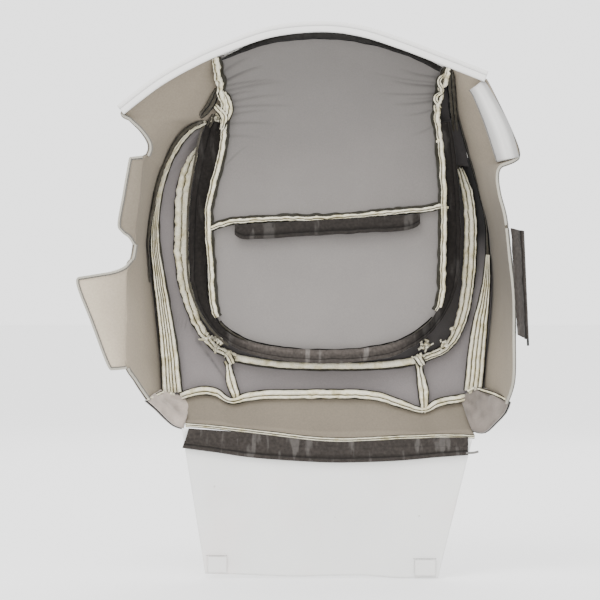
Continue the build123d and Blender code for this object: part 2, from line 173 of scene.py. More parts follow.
TOP_BAND = [(-257, -74, 224.5), (-232, -76, 244), (-205, -79, 263), (-170, -84, 282),
            (-132, -88, 299), (-70, -92, 320), (-8, -92, 326.5), (42, -92, 321.5),
            (92, -93, 306), (142, -93, 287), (199, -93, 264.5)]
FLAP_FOLD_Z = -199.0
FLAP_BEND = 4.0         # the cloth bends over this much above and below the fold
FLAP_Y = -24.0
FLAP_CLOTH = (371, 186, "hung", 0.865)
TABS = {"left": (-151.5, -123.5, -339.5), "right": (111.5, 142, -343.5)}    # left, right, top
TAB_DROP = 20.5
LISTING_Y = -30.3
FLAP_TOP = [(-183, -176), (-96, -184), (6, -194), (95, -191), (187, -189)]
FLAP_FOOT = [(-153, -361), (-100, -362.5), (-40, -364.5), (10, -363.5), (50, -363.5),
             (90, -366.5), (143, -366.5)]
BOTTOM_LISTING = [(-174, -176, -201), (-130, -179, -208), (-96, -182, -213), (-45, -188, -217),
                  (6, -193, -219.5), (50, -192, -219), (95, -190, -217), (140, -188, -213),
                  (181, -187, -210)]
CENTRE_FOLD = [(-116, -10.5, 79), (121, -10.5, 93)]
RIGHT_FOLD = [(228.5, -105.5, 76), (237, -105, -56)]
RIGHT_FREE = [(245, -90, 73), (251, -88, -62)]
U_LISTING = [
    (-139, -10, 217, 6.0), (-142, -9, 206, 12.0), (-146, -8, 188, 14.0), (-154, -3, 150, 13.5),
    (-161, 0, 110, 12.6), (-163, 0, 60, 12.0), (-163, -2, 16, 10.6), (-158, -6, -14, 7.0),
    (-146, -8, -39, 5.4), (-126, -8, -60, 5.6), (-100, -7, -73, 7.2), (-58, -6, -82, 8.4),
    (6, -6, -85.5, 8.6), (71, -6, -80, 8.4), (104, -7, -69, 7.4), (132, -8, -50, 6.0),
    (152, -8, -22, 5.6), (162, -4, 12, 8.4), (164, -1, 60, 9.6), (163, -1, 110, 10.0),
    (160, -5, 150, 9.6), (156, -12, 186, 8.6), (153, -22, 214, 6.0),
]


# ---- Folds as (start, end, width, depth), strips painted as the shade along the upper seams, twisted seams, and frayed ends

INSERT_FOLDS = [
    ((-132, 262), (-78, 281), 1.5, 1.6), ((-131, 258), (-60, 264), 1.3, 1.1),
    ((-129, 252), (-50, 262), 1.7, 0.9), ((-127, 245), (-88, 250), 1.2, 1.0),
    ((-126, 238), (-52, 246), 1.4, 0.9), ((-126, 232), (-40, 232), 1.6, 0.8),
    ((-127, 222), (-72, 226), 1.3, 0.9), ((-128, 212), (-60, 209), 1.5, 0.8),
    ((-130, 196), (-80, 192), 1.7, 0.6), ((-128, 160), (-96, 184), 1.2, 0.7),
    ((-134, 272), (-92, 292), 1.8, 0.9),
    ((146, 258), (80, 268), 1.5, 1.3), ((144, 250), (66, 252), 1.3, 1.0),
    ((143, 242), (84, 238), 1.6, 1.0), ((143, 232), (98, 224), 1.3, 0.8),
    ((148, 268), (92, 282), 1.6, 1.0), ((144, 262), (60, 277), 1.2, 0.7),
    ((145, 214), (110, 200), 1.6, 0.6), ((142, 246), (100, 246), 1.0, 0.7),
]
GUSSET_FOLDS = {
    "left": [((-207, -139), (-184, -166), 2.6, 2.6), ((-199, -136), (-180, -150), 2.0, 2.2),
             ((-212, -142), (-200, -158), 1.6, 1.6)],
    "right": [((180, -140), (207, -166), 3.0, 2.8), ((186, -132), (206, -150), 2.0, 2.2),
              ((178, -150), (190, -176), 2.4, 2.4)],
}
SHADE_STRIP_ROWS = [
    [(-140, -15, 230, 3.5), (-148, -7, 212, 3.5), (-156, 7, 197, 3.0), (-163, 17, 184, 2.5)],
    [(173, 19, 158, 3.0), (168, 13, 184, 4.0), (165, -3, 216, 4.5), (159, -37, 262, 4.5),
     (157, -50, 278, 3.0)],
    [(-160, -19, 221, 3.0), (-151, -25, 230, 5.0), (-143, -31, 243, 5.0), (-137, -37, 254, 3.0)],
]
GUSSET_SEAMS = [
    [(-208, 3, -131, 1.6), (-217, -16, -135, 1.6), (-226, -38, -139, 1.6)],
    [(196, 3, -127, 1.6), (214, -30, -132, 1.6), (228, -58, -139, 1.6)],
]
KNOTS = [
    [(-131, -30, 252, 2.4), (-124, -28, 240, 4.2), (-123, -24, 226, 4.8), (-131, -18, 213, 3.4)],
    [(-147, -18, 238, 2.0), (-138, -24, 232, 3.4), (-129, -26, 220, 3.8), (-133, -18, 205, 2.4)],
    [(-126, 14, -82, 3.4), (-123, 11, -88, 4.4), (-120, 12, -95, 3.4)],
    [(117, 13, -85, 3.4), (121, 10, -90, 4.6), (125, 12, -97, 3.4)],
    [(150, -44, 272, 2.2), (143, -46, 263, 3.0), (147, -38, 252, 2.6), (139, -34, 243, 2.8),
     (145, -26, 231, 2.4)],
]
# Each is the centre, the radius and the number of strips of one cluster
FRAYS = [
    (-151, 10, -62, 7, 9), (-137, 8, -65, 8, 12), (-124, 13, -85, 6, 8), (-140, 8, -74, 6, 6),
    (130, 8, -72, 9, 14), (153, 9, -70, 8, 10), (121, 12, -88, 7, 9), (164, 9, -50, 6, 5),
    (-137, -16, 236, 9, 12), (-134, -14, 222, 9, 14), (-143, -10, 218, 7, 9), (-151, -5, 213, 5, 5),
    (145, -10, 191, 4, 5), (146, -32, 262, 5, 6), (-151, 0, 82, 4, 5), (152, 0, 106, 4, 5),
    (-197, 8, -133, 7, 8), (188, 7, -129, 8, 10), (-135, -3, -49, 4, 4),
]


# ---- Curves and grids

def spline(rows, step=STEP):
    """Catmull-Rom through rows, as points about every step mm along it."""
    rows = np.array(rows, float)
    fine = []
    t = np.arange(12)[:, None] / 12
    for i in range(len(rows) - 1):
        p, q, r, s = (rows[max(i - 1, 0)], rows[i], rows[i + 1], rows[min(i + 2, len(rows) - 1)])
        fine.append(0.5 * (2 * q + (r - p) * t + (2 * p - 5 * q + 4 * r - s) * t**2
                           + (3 * q - p - 3 * r + s) * t**3))
    fine = np.vstack(fine + [rows[-1:]])
    run = np.linalg.norm(np.diff(fine[:, :3], axis=0), axis=1).sum()
    return resample(fine, max(int(run / step), 2) + 1)


def resample(points, count):
    """The same polyline with count evenly spaced points."""
    run = np.r_[0, np.cumsum(np.linalg.norm(np.diff(points[:, :3], axis=0), axis=1))]
    want = np.linspace(0, run[-1], count)
    return np.stack([np.interp(want, run, column) for column in points.T], 1)


def path_length(path):
    return np.linalg.norm(np.diff(path[:, :3], axis=0), axis=1).sum()


def with_depth(rows, y=0.0):
    """(x, z) rows as (x, y, z) rows."""
    return [(x, y, z) for x, z in rows]


def between_heights(path, low, high):
    return path[(path[:, 2] > low) & (path[:, 2] < high)]


def wall_seams():
    """The curves on which the left and the right wall are sewn to the bolsters."""
    return (spline([seam for seam, _ in pairs]) for pairs in (LEFT_WALL, RIGHT_WALL))


def lining_y(z):
    """Depth of the insert's lining face at height z."""
    rise = np.maximum(z - CURL_START, 0)
    return np.sqrt(CURL_RADIUS**2 - rise**2) - CURL_RADIUS


def on_insert(rows, off=0.0):
    """A curve through (x, z) rows, at a distance behind the insert's lining face."""
    line = spline(with_depth(rows))
    line[:, 1] = lining_y(line[:, 2]) + off
    return line


def unit(v):
    return v / np.maximum(np.linalg.norm(v, axis=-1, keepdims=True), 1e-9)


def outward(grid):
    """Unit normals of a grid of points, away from the pad."""
    n = unit(np.cross(np.gradient(grid, axis=0), np.gradient(grid, axis=1)))
    return n if ((grid - PAD) * n).sum() > 0 else -n


def wobble(points, size, seed=0.0):
    """Smooth noise from about -1 to 1, with bumps about size mm across."""
    flat = points.reshape(-1, 3) / size + seed * 7.31
    values = [noise.noise(Vector(p)) for p in flat]
    return np.array(values).reshape(points.shape[:-1])


def ruled(a, b, rows, columns):
    """A grid between two curves, both resampled to rows points."""
    a, b = resample(a, rows), resample(b, rows)
    t = np.linspace(0, 1, columns)[None, :, None]
    return a[:, None, :3] * (1 - t) + b[:, None, :3] * t


def pairs_grid(pairs, columns):
    """A grid across paired points, smooth along them."""
    line = spline([a + b for a, b in pairs])
    t = np.linspace(0, 1, columns)[None, :, None]
    return line[:, None, :3] * (1 - t) + line[:, None, 3:] * t


def coons(bottom, top, left, right, rows, columns):
    """A grid inside four curves; left and right run from the bottom to the top."""
    bottom, top = resample(bottom, columns), resample(top, columns)
    left, right = resample(left, rows), resample(right, rows)
    u = np.linspace(0, 1, rows)[:, None, None]
    v = np.linspace(0, 1, columns)[None, :, None]
    across = left[:, None] * (1 - v) + right[:, None] * v
    along = bottom[None] * (1 - u) + top[None] * u
    corners = ((bottom[0] * (1 - u) + top[0] * u) * (1 - v)
               + (bottom[-1] * (1 - u) + top[-1] * u) * v)
    return across + along - corners


# ---- Meshes

def add_mesh(name, verts, faces, material, tone=None):
    """A smooth mesh from points in mm. tone darkens or lightens the material, point by point."""
    data = bpy.data.meshes.new(name)
    data.from_pydata((np.asarray(verts) * MM).tolist(), [], faces)
    work = bmesh.new()
    work.from_mesh(data)
    bmesh.ops.recalc_face_normals(work, faces=work.faces)
    work.to_mesh(data)
    work.free()
    data.polygons.foreach_set("use_smooth", [True] * len(data.polygons))
    layer = data.attributes.new("tone", "FLOAT", "POINT")
    tone = np.ones(len(verts)) if tone is None else np.asarray(tone, float).ravel()
    layer.data.foreach_set("value", tone)
    data.materials.append(material)
    obj = bpy.data.objects.new(name, data)
    bpy.context.scene.collection.objects.link(obj)
    return obj


def slab_parts(front, back, tone=None, back_tone=None):
    """Points, faces and tones of a closed sheet between two grids of the same shape."""
    rows, columns = front.shape[:2]
    at = np.arange(rows * columns).reshape(rows, columns)
    quads = np.stack([at[:-1, :-1], at[1:, :-1], at[1:, 1:], at[:-1, 1:]], -1).reshape(-1, 4)
    far = rows * columns
    ring = np.r_[at[0, :-1], at[:-1, -1], at[-1, :0:-1], at[:0:-1, 0]]
    after = np.roll(ring, -1)
    rim = np.stack([ring, after, after + far, ring + far], -1)
    faces = np.vstack([quads, quads[:, ::-1] + far, rim]).tolist()
    verts = np.vstack([front.reshape(-1, 3), back.reshape(-1, 3)])
    tone = np.ones(front.shape[:2]) if tone is None else tone
    back_tone = tone if back_tone is None else back_tone
    return verts, faces, np.r_[tone.ravel(), back_tone.ravel()]


def slab(name, front, back, material, tone=None, back_tone=None):
    verts, faces, tones = slab_parts(front, back, tone, back_tone)
    return add_mesh(name, verts, faces, material, tones)


def frames(path, up):
    """Side and up directions along a path. up is one direction or one for each point."""
    along = unit(np.gradient(path, axis=0))
    up = np.broadcast_to(up, path.shape)
    side = unit(np.cross(along, up))
    return side, unit(np.cross(side, along))


def tube_quads(rows, points):
    """Faces round a tube of rows rings, each of so many points."""
    at = np.arange(rows * points).reshape(rows, points)
    after = np.roll(at, -1, axis=1)
    return np.stack([at[:-1], at[1:], after[1:], after[:-1]], -1).reshape(-1, 4)


def closed_tube(rows, points):
    """The same faces, and one face across each end."""
    last = (rows - 1) * points
    ends = [list(range(points)), list(range(last + points - 1, last - 1, -1))]
    return tube_quads(rows, points).tolist() + ends


def sweep_parts(path, section, up, tone=None):
    """Points, faces and tones of a closed tube. section is (stations, points, 2): side and up."""
    side, lift = frames(path, up)
    section = np.broadcast_to(section, (len(path), *np.shape(section)[-2:]))
    verts = path[:, None] + side[:, None] * section[..., :1] + lift[:, None] * section[..., 1:]
    shape = verts.shape[:2]
    tone = np.broadcast_to(1.0 if tone is None else tone, shape)
    return verts.reshape(-1, 3), closed_tube(*shape), tone.ravel()


def join_parts(parts):
    verts, faces, tones, start = [], [], [], 0
    for v, f, t in parts:
        verts.append(v)
        tones.append(t)
        faces += [[i + start for i in face] for face in f]
        start += len(v)
    return np.vstack(verts), faces, np.concatenate(tones)


def circle(radius):
    angle = np.linspace(0, 2 * math.pi, 10, endpoint=False)
    return np.stack([np.cos(angle), np.sin(angle)], -1) * radius


def place(obj, body, slot, *nodes):
    """Rides a piece on its body when that is a name, else only bakes its transform; hides the CAD nodes
    that it stands for. slot is not used.
    """
    if isinstance(body, str):
        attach(obj, body)
    else:
        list(body)
        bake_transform(obj)
    if nodes:
        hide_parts(*nodes)
    return obj


def bend_between(a, b, start, end):
    """Bodies a and b and two points in mm, packed in one tuple with the points in metres."""
    return a, b, tuple(np.asarray(start, float) * MM), tuple(np.asarray(end, float) * MM)


def flap_bend(x, y):
    """Bodies and points just above and below the flap's fold at x and y, as bend_between packs them."""
    return bend_between("cover", "pull_through_flap_body", (x, y, FLAP_FOLD_Z + FLAP_BEND),
                        (x, y, FLAP_FOLD_Z - FLAP_BEND))


# ---- Materials

class Nodes:
    """A short way to write one material's nodes."""

    def __init__(self, name, roughness, **sockets):
        self.material = bpy.data.materials.new(name)
        self.material.use_nodes = True
        self.tree = self.material.node_tree
        self.shader = self.tree.nodes["Principled BSDF"]
        self.shader.inputs["Roughness"].default_value = roughness
        for socket, value in sockets.items():
            self.shader.inputs[socket.replace("_", " ")].default_value = value
        self.place = self.tree.nodes.new("ShaderNodeTexCoord").outputs["Object"]

    def link(self, source, target):
        self.tree.links.new(source, target)

    def noise(self, scale, detail=3.0, stretch=None):
        place = self.place
        if stretch:
            mapping = self.tree.nodes.new("ShaderNodeMapping")
            mapping.inputs["Scale"].default_value = stretch
            self.link(place, mapping.inputs["Vector"])
            place = mapping.outputs["Vector"]
        node = self.tree.nodes.new("ShaderNodeTexNoise")
        node.inputs["Scale"].default_value = scale
        node.inputs["Detail"].default_value = detail
        self.link(place, node.inputs["Vector"])
        return node.outputs["Fac"]

    def cells(self, scale):
        node = self.tree.nodes.new("ShaderNodeTexVoronoi")
        node.inputs["Scale"].default_value = scale
        self.link(self.place, node.inputs["Vector"])
        return node.outputs["Distance"]

    def ramp(self, value, stops):
        node = self.tree.nodes.new("ShaderNodeValToRGB")
        node.color_ramp.elements[0].position = stops[0][0]
        node.color_ramp.elements[0].color = (*stops[0][1], 1)
        node.color_ramp.elements[1].position = stops[-1][0]
        node.color_ramp.elements[1].color = (*stops[-1][1], 1)
        for position, color in stops[1:-1]:
            node.color_ramp.elements.new(position).color = (*color, 1)
        self.link(value, node.inputs["Fac"])
        return node.outputs["Color"]

    def blend(self, a, b, factor, mode="MIX"):
        node = self.tree.nodes.new("ShaderNodeMix")
        node.data_type = "RGBA"
        node.blend_type = mode
        for value, socket in ((a, node.inputs[6]), (b, node.inputs[7]), (factor, node.inputs[0])):
            if isinstance(value, bpy.types.NodeSocket):
                self.link(value, socket)
            else:
                socket.default_value = value
        return node.outputs[2]

    def tone(self):
        node = self.tree.nodes.new("ShaderNodeAttribute")
        node.attribute_name = "tone"
        return node.outputs["Fac"]

    def color(self, value):
        """Sets the base colour, darkened by the mesh's tone."""
        self.link(self.blend(value, self.tone(), 1.0, "MULTIPLY"), self.shader.inputs["Base Color"])

    def bump(self, height, strength, distance):
        node = self.tree.nodes.new("ShaderNodeBump")
        node.inputs["Strength"].default_value = strength
        node.inputs["Distance"].default_value = distance * MM
        self.link(height, node.inputs["Height"])
        if self.shader.inputs["Normal"].links:
            self.link(self.shader.inputs["Normal"].links[0].from_socket, node.inputs["Normal"])
        self.link(node.outputs["Normal"], self.shader.inputs["Normal"])


def shades(color, spread):
    """Darker and lighter versions of a colour."""
    return tuple(c * (1 - spread) for c in color), tuple(min(c * (1 + spread), 1) for c in color)


def cloth(name, color, spread, thread=700, relief=0.25, sheen=0.25):
    """A knitted scrim or felt: fine thread relief over soft mottling."""
    m = Nodes(name, 0.92, Sheen_Weight=sheen, Sheen_Roughness=0.6, Specular_IOR_Level=0.2)
    dark, light = shades(color, spread)
    broad = m.ramp(m.noise(14, 4), [(0.3, dark), (0.7, light)])
    fine = m.ramp(m.noise(thread, 2), [(0.25, (0.86,) * 3), (0.75, (1.0,) * 3)])
    m.color(m.blend(broad, fine, 1.0, "MULTIPLY"))
    m.bump(m.noise(thread, 2, (1, 1, 2.5)), relief, 0.4)
    m.bump(m.noise(60, 3), 0.1, 0.6)
    return m.material


def fleece(name, color, bent):
    """Needled fleece: short tangled fibres, with creases that are bent paler than the rest."""
    m = Nodes(name, 0.95, Sheen_Weight=0.12, Sheen_Roughness=0.45, Specular_IOR_Level=0.12)
    dark, light = shades(color, 0.3)
    body = m.ramp(m.noise(260, 5), [(0.3, dark), (0.75, light)])
    pale_streak = (bent, bent * 0.95, bent * 0.9)
    crease = m.ramp(m.noise(30, 5, (2.6, 1.0, 0.6)), [(0.58, (0, 0, 0)), (0.66, pale_streak)])
    m.color(m.blend(body, crease, 1.0, "ADD"))
    m.bump(m.noise(900, 3), 0.6, 0.5)
    m.bump(m.noise(120, 4), 0.35, 1.0)
    return m.material


def leather(name, color, roughness=0.48, stain=None):
    """Finished leather: fine cells of grain, soft marks, and a faint tint where it was handled."""
    m = Nodes(name, roughness, Coat_Weight=0.08, Coat_Roughness=0.4, Specular_IOR_Level=0.4)
    dark, light = shades(color, 0.035)
    value = m.ramp(m.noise(9, 4), [(0.3, dark), (0.7, light)])
    if stain:
        spots = m.ramp(m.noise(11, 2), [(0.52, (1, 1, 1)), (0.70, stain)])
        value = m.blend(value, spots, 1.0, "MULTIPLY")
        specks = m.ramp(m.cells(28), [(0.035, (0.72, 0.70, 0.68)), (0.06, (1, 1, 1))])
        value = m.blend(value, specks, 1.0, "MULTIPLY")
    m.color(value)
    m.bump(m.cells(900), 0.18, 0.3)
    m.bump(m.noise(35, 3), 0.08, 1.0)
    return m.material


def foam_edge(name, color):
    """Cut edges of foam, scrim and leather in a seam allowance: porous, yellowed in patches."""
    m = Nodes(name, 0.85, Specular_IOR_Level=0.2)
    yellow = (color[0] * 0.90, color[1] * 0.87, color[2] * 0.76)
    olive = (color[0] * 0.62, color[1] * 0.59, color[2] * 0.47)
    value = m.ramp(m.noise(95, 6), [(0.30, olive), (0.42, yellow), (0.52, color), (0.8, color)])
    pores = m.ramp(m.noise(1100, 3), [(0.32, (0.72,) * 3), (0.58, (1.0,) * 3)])
    m.color(m.blend(value, pores, 1.0, "MULTIPLY"))
    m.bump(m.noise(600, 4), 0.6, 0.5)
    m.bump(m.noise(150, 4), 0.55, 1.2)
    return m.material


INSERT_SCRIM = cloth("insert_scrim", (0.178, 0.165, 0.156), 0.05)
BOLSTER_SCRIM = cloth("bolster_scrim", (0.180, 0.163, 0.161), 0.06, sheen=0.08)
BOXING_FELT = cloth("boxing_felt", (0.212, 0.181, 0.138), 0.05, 420, 0.35, 0.06)
GUSSET_FELT = cloth("gusset_felt", (0.36, 0.305, 0.262), 0.14, 420, 0.35)
FLEECE = fleece("charcoal_fleece", (0.021, 0.018, 0.016), 0.026)
TAPE = fleece("edge_tape_weave", (0.012, 0.011, 0.010), 0.004)
# Near-black fleece: the dark plies and cord along some seams, and strips painted as the shade beside
# the upper seams and the left wall.
DARK_PLY_AND_SHADE = fleece("dark_ply_and_shade", (0.045, 0.040, 0.030), 0.02)
SEAM = foam_edge("seam_edges", (0.78, 0.735, 0.58))
HEM = leather("hem_leather", (0.72, 0.71, 0.69), 0.5)
BINDING = leather("edge_binding", (0.30, 0.285, 0.24), 0.6)
FLAP = leather("flap_leather", (0.74, 0.74, 0.72), 0.5, (1.0, 0.955, 0.95))
OUTER = leather("outer_leather", (0.70, 0.69, 0.66), 0.42)
THREAD = leather("thread", (0.13, 0.125, 0.115), 0.6)
PLASTIC = leather("rod_plastic", (0.60, 0.59, 0.56), 0.35)


# ---- Shared makers

def lined_panel(name, grid, thickness, material, slot, nodes, bulge=0.0, relief=0.0, tone=1.0,
                edge_shade=(0.0, 0.0)):
    """The lining side of a panel: a closed sheet whose middle stands out. Its two long edges are
    painted darker as shade, where the allowances and the folded foam shade them; the last argument sets
    how much."""
    normal = outward(grid)
    v = np.linspace(0, 1, grid.shape[1])[None, :]
    push = bulge * np.sin(math.pi * v)**0.7 + np.zeros(grid.shape[:2]) + relief
    width = np.linalg.norm(grid[:, -1] - grid[:, 0], axis=-1)[:, None]
    tone = tone * np.ones(grid.shape[:2])
    # Painted shade: darker towards both long edges.
    tone = tone * (1 - edge_shade[0] * np.exp(-v * width / EDGE_SHADE_WIDTH))
    tone = tone * (1 - edge_shade[1] * np.exp(-(1 - v) * width / EDGE_SHADE_WIDTH))
    front = grid + normal * push[..., None]
    obj = slab(name, front, front + normal * thickness, material, tone)
    place(obj, "cover", slot, *nodes)
    if thickness >= FOAM:
        return obj
    return cloth_sheet(obj, path_length(grid[:, grid.shape[1] // 2]), width.mean(), "stretched")


def leather_panel(name, grid, start, puff, slot, nodes, seed):
    """The outer side: leather drawn in at its seams and full between them, with its inner face painted
    dark as the shade seen through gaps.
    """
    normal = outward(grid)
    rows, columns = grid.shape[:2]
    u = np.minimum(np.linspace(0, 1, rows), np.linspace(1, 0, rows))[:, None] * rows * STEP
    v = np.minimum(np.linspace(0, 1, columns), np.linspace(1, 0, columns))[None, :]
    width = np.linalg.norm(grid[:, -1] - grid[:, 0], axis=-1)[:, None]
    near = np.minimum(u, v * width)
    full = 1 - np.exp(-near / 7)
    ripple = wobble(grid, 26, seed) * 0.7 + wobble(grid, 9, seed) * 0.25
    push = start + (puff * full + ripple * full)
    front = grid + normal * push[..., None]
    # Painted shade: the inner face is near black so that gaps read dark.
    dark = np.full(grid.shape[:2], INNER_FACE_SHADE)
    obj = slab(name, front, front + normal * LEATHER, OUTER, dark, np.ones(grid.shape[:2]))
    return place(obj, "cover", slot, *nodes)


def leaf_section(half, height):
    """Cross-section of one allowance leaf: a thin slab with a rounded top, as (side, up)."""
    shape = np.array([(-1, -0.08), (-1.02, 0.45), (-0.92, 0.82), (-0.5, 0.98), (0, 1.02),
                      (0.5, 0.98), (0.92, 0.82), (1.02, 0.45), (1, -0.08)])
    return shape[None] * np.stack([half, height], -1)[:, None]


# How dark each point of that section is: the sides of a leaf are shaded
LEAF_TONE = np.array([0.50, 0.74, 0.92, 1.0, 1.03, 1.0, 0.92, 0.74, 0.50])


def allowance(name, seam, leaves, height, seed, nodes=(), slot="seam_allowance", up=FORWARD,
              ruffle=1.0, gather=None, dark=1.2, grain=14.0, stagger=0.0, ply=SEAM, lean=0.0):
    """Stacked seam allowances along a list of points or a finished curve, over a dark ply painted near
    black as the ply and the shade beside the seam. leaves are their shares of the seam's width, ply is
    their material, and lean moves the dark ply sideways."""
    line = spline(seam, 1.6) if isinstance(seam, list) else seam
    path, half = line[:, :3], line[:, 3]
    side, lift = frames(path, up(path) if callable(up) else up)
    wave = ruffle * (np.ones(len(path)) if gather is None else gather(path))
    path = path + side * (wobble(path, grain * 1.4, seed) * 0.9 * wave)[:, None]
    steps = np.r_[0, np.cumsum(leaves)] / sum(leaves) * 2 - 1
    bounds = [step * half + (wobble(path, grain * 0.8, seed + 9 * k) * 0.8
                             + wobble(path, grain * 0.33, seed + 5 * k) * 0.55) * wave
              for k, step in enumerate(steps)]
    ends = np.minimum(np.arange(len(path)), np.arange(len(path))[::-1])
    taper = 0.5 + 0.5 * np.clip(ends / 4, 0, 1)
    ragged = wobble(path, grain * 1.1, seed + 77) * np.sqrt(wave)
    under = half + dark * np.clip(0.8 + 0.6 * ragged, 0.3, 1.5)
    # Painted shade: the dark ply is near black, as the ply and the shade beside the seam.
    parts = [sweep_parts(path + side * lean, leaf_section(under, height * 0.42 * taper), lift,
                         PLY_AND_SHADE_TONE)]
    for k, (near, far) in enumerate(zip(bounds, bounds[1:])):
        thin = np.maximum((far - near) / 2 - 0.45, 0.5)
        tall = height * (1 + 0.16 * wobble(path, grain, seed + 31 * k + 40) * np.sqrt(wave)
                         + 0.08 * wobble(path, grain * 0.3, seed + k) * wave
                         + stagger * (k % 2 - 0.5)) * taper
        centre = path + side * ((near + far) / 2)[:, None]
        stain = 0.93 + 0.16 * wobble(path, grain * 0.5, seed + k + 60)
        parts.append(sweep_parts(centre, leaf_section(thin, tall), lift,
                                 LEAF_TONE[None] * stain[:, None]))
    verts, faces, tones = join_parts(parts)
    return place(add_mesh(name, verts, faces, ply, tones), "cover", slot, *nodes)


def cloth_sheet(obj, width, length, held, share=1.0):
    """Returns the piece unchanged; width, length, held and share are not used."""
    return obj


def ribbon(name, path, width, thickness, material, body, slot, nodes=()):
    """A flat hem or strip along a path, rounded at its edges."""
    w, t = width / 2, thickness / 2
    section = np.array([(-w, -t * 0.4), (-w, t * 0.4), (-w * 0.86, t), (-w * 0.3, t),
                        (-w * 0.16, t), (0, t), (w * 0.5, t), (w * 0.86, t),
                        (w, t * 0.4), (w, -t * 0.4), (w * 0.86, -t), (0, -t), (-w * 0.86, -t)])
    obj = add_mesh(name, *sweep_parts(path, section, FORWARD)[:2], material)
    return place(obj, body, slot, *nodes)


def cords(name, lines, radius, material, body, slot):
    """Round rods or threads, as one piece."""
    parts = [sweep_parts(line, circle(radius), FORWARD) for line in lines]
    verts, faces, tones = join_parts(parts)
    return place(add_mesh(name, verts, faces, material, tones), body, slot)


def stitches(name, path, length, gap, radius, body, slot):
    """A row of short stitches along a path."""
    count = max(int(path_length(path) / (length + gap)), 2)
    dense = resample(path, count * 4 + 1)
    lines = [dense[4 * i:4 * i + 3] for i in range(count)]
    return cords(name, lines, radius, THREAD, body, slot)


# ---- Insert

def between_points(edge, start, end):
    """The stretch of a curve between the points nearest to two (x, z) places."""
    def nearest(place):
        return int(np.argmin(np.hypot(edge[:, 0] - place[0], edge[:, 2] - place[1])))
    a, b = nearest(start), nearest(end)
    return edge[a:b + 1] if a < b else edge[b:a + 1][::-1]


def creases(grid, lines):
    """Depth of sharp folds in a grid, each as (x, z) ends, width and depth."""
    push = np.zeros(grid.shape[:2])
    for (x0, z0), (x1, z1), width, depth in lines:
        dx, dz = x1 - x0, z1 - z0
        length = math.hypot(dx, dz)
        t = ((grid[..., 0] - x0) * dx + (grid[..., 2] - z0) * dz) / length**2
        off = ((grid[..., 0] - x0) * dz - (grid[..., 2] - z0) * dx) / length
        off = off + 3.0 * np.sin(t * 2.4)
        fade = np.clip(t + 0.02, 0, 1)**0.25 * np.clip(1 - t, 0, 1)**0.8
        inside = (t > -0.02) & (t < 1)
        push += np.where(inside, depth * fade * np.exp(-(off / width)**2), 0) * 1.3
    return push


def insert_grid(lower):
    edge = spline(with_depth(INSERT_EDGE))
    cross = spline(with_depth(CROSS_SEAM))
    left_end, right_end = (-150, 78), (152, 108)
    if lower:
        low_left, low_right = (-138, -37), (142, -30)
        sides = (between_points(edge, low_left, low_right), cross,
                 between_points(edge, low_left, left_end), between_points(edge, low_right, right_end))
        grid = coons(*sides, 64, 104)
    else:
        top = spline(with_depth(INSERT_TOP))
        sides = (cross, top, between_points(edge, left_end, (-138, 293)),
                 between_points(edge, right_end, (155, 281)))
        grid = coons(*sides, 130, 150)
    grid[..., 1] = lining_y(grid[..., 2])
    return grid


def build_insert():
    for part, lower in (("upper", False), ("lower", True)):
        grid = insert_grid(lower)
        relief = wobble(grid, 70, 2 + lower) * 2.2 + wobble(grid, 22, 5) * 0.35
        folds = np.zeros(grid.shape[:2]) if lower else creases(grid, INSERT_FOLDS)
        relief = relief + folds
        # Painted shade: darker towards the top, where the insert curls over and faces down, and darker
        # in its folds.
        tone = 1 - 0.28 * np.clip((grid[..., 2] - 10) / 260, 0, 1)
        tone = tone * (1 - 0.42 * np.clip(folds, 0, 1.6))
        lined_panel(f"insert_{part}_lining", grid, FOAM, INSERT_SCRIM, "insert_scrim",
                    [f"insert_{part}_backing"], 0.0, relief, tone, (0.35, 0.35))
        leather_panel(f"insert_{part}_leather", grid, FOAM + PLY_GAP - 1.5, 3.0, "insert_leather",
                      [f"insert_{part}_face"], 11 + lower)


def off_insert(path):
    """Directions off the insert's lining face."""
    rise = np.maximum(path[:, 2] - CURL_START, 0)
    y = -np.sqrt(CURL_RADIUS**2 - rise**2)
    return unit(np.stack([np.zeros(len(path)), y, -rise], -1))


def upper_gather(path):
    """How tightly an insert seam is gathered: strongly above the bolsters, little beside them."""
    return 1 + 2.2 * np.clip((path[:, 2] - 190) / 30, 0, 1) * np.clip((322 - path[:, 2]) / 30, 0, 1)


def left_gather(path):
    return 1 + 1.6 * np.clip((path[:, 2] - 130) / 30, 0, 1)


def build_insert_seams():
    edge = spline([(x, 0, z, 3.9) for x, z in INSERT_EDGE], 2.0)
    edge[:, 1] = lining_y(edge[:, 2])
    left = between_points(edge, (-138, 293), (-139, -36))
    bottom = between_points(edge, (-136, -41), (139, -34))
    right = between_points(edge, (143, -28), (155, 281))
    bottom[:, 3] = 1.6
    left[:, 3] += 0.6 * np.clip((left[:, 2] - 200) / 20, 0, 1)
    gathered = dict(up=off_insert, gather=upper_gather, dark=2.2, grain=8, stagger=0.3, lean=-1.5)
    allowance("insert_left_allowance", left, (5, 2), 9.5, 1, ["insert_left_seam"], ruffle=0.85,
              **gathered)
    allowance("insert_right_allowance", right, (2, 5), 9.5, 2, ["insert_right_seam"], ruffle=0.9,
              **gathered)
    allowance("insert_bottom_allowance", bottom, (1,), 4.0, 3, ["insert_bottom_seam"], up=off_insert,
              ruffle=0.6, dark=1.6, ply=DARK_PLY_AND_SHADE)
    cross = [(x, 0, z, 3.2) for x, z in CROSS_SEAM]
    allowance("cross_allowance", cross, (3, 2), 8.0, 4, ["cross_seam"], ruffle=1.2, dark=2.4, grain=9,
              stagger=0.15, lean=-1.0)


# ---- Bolsters

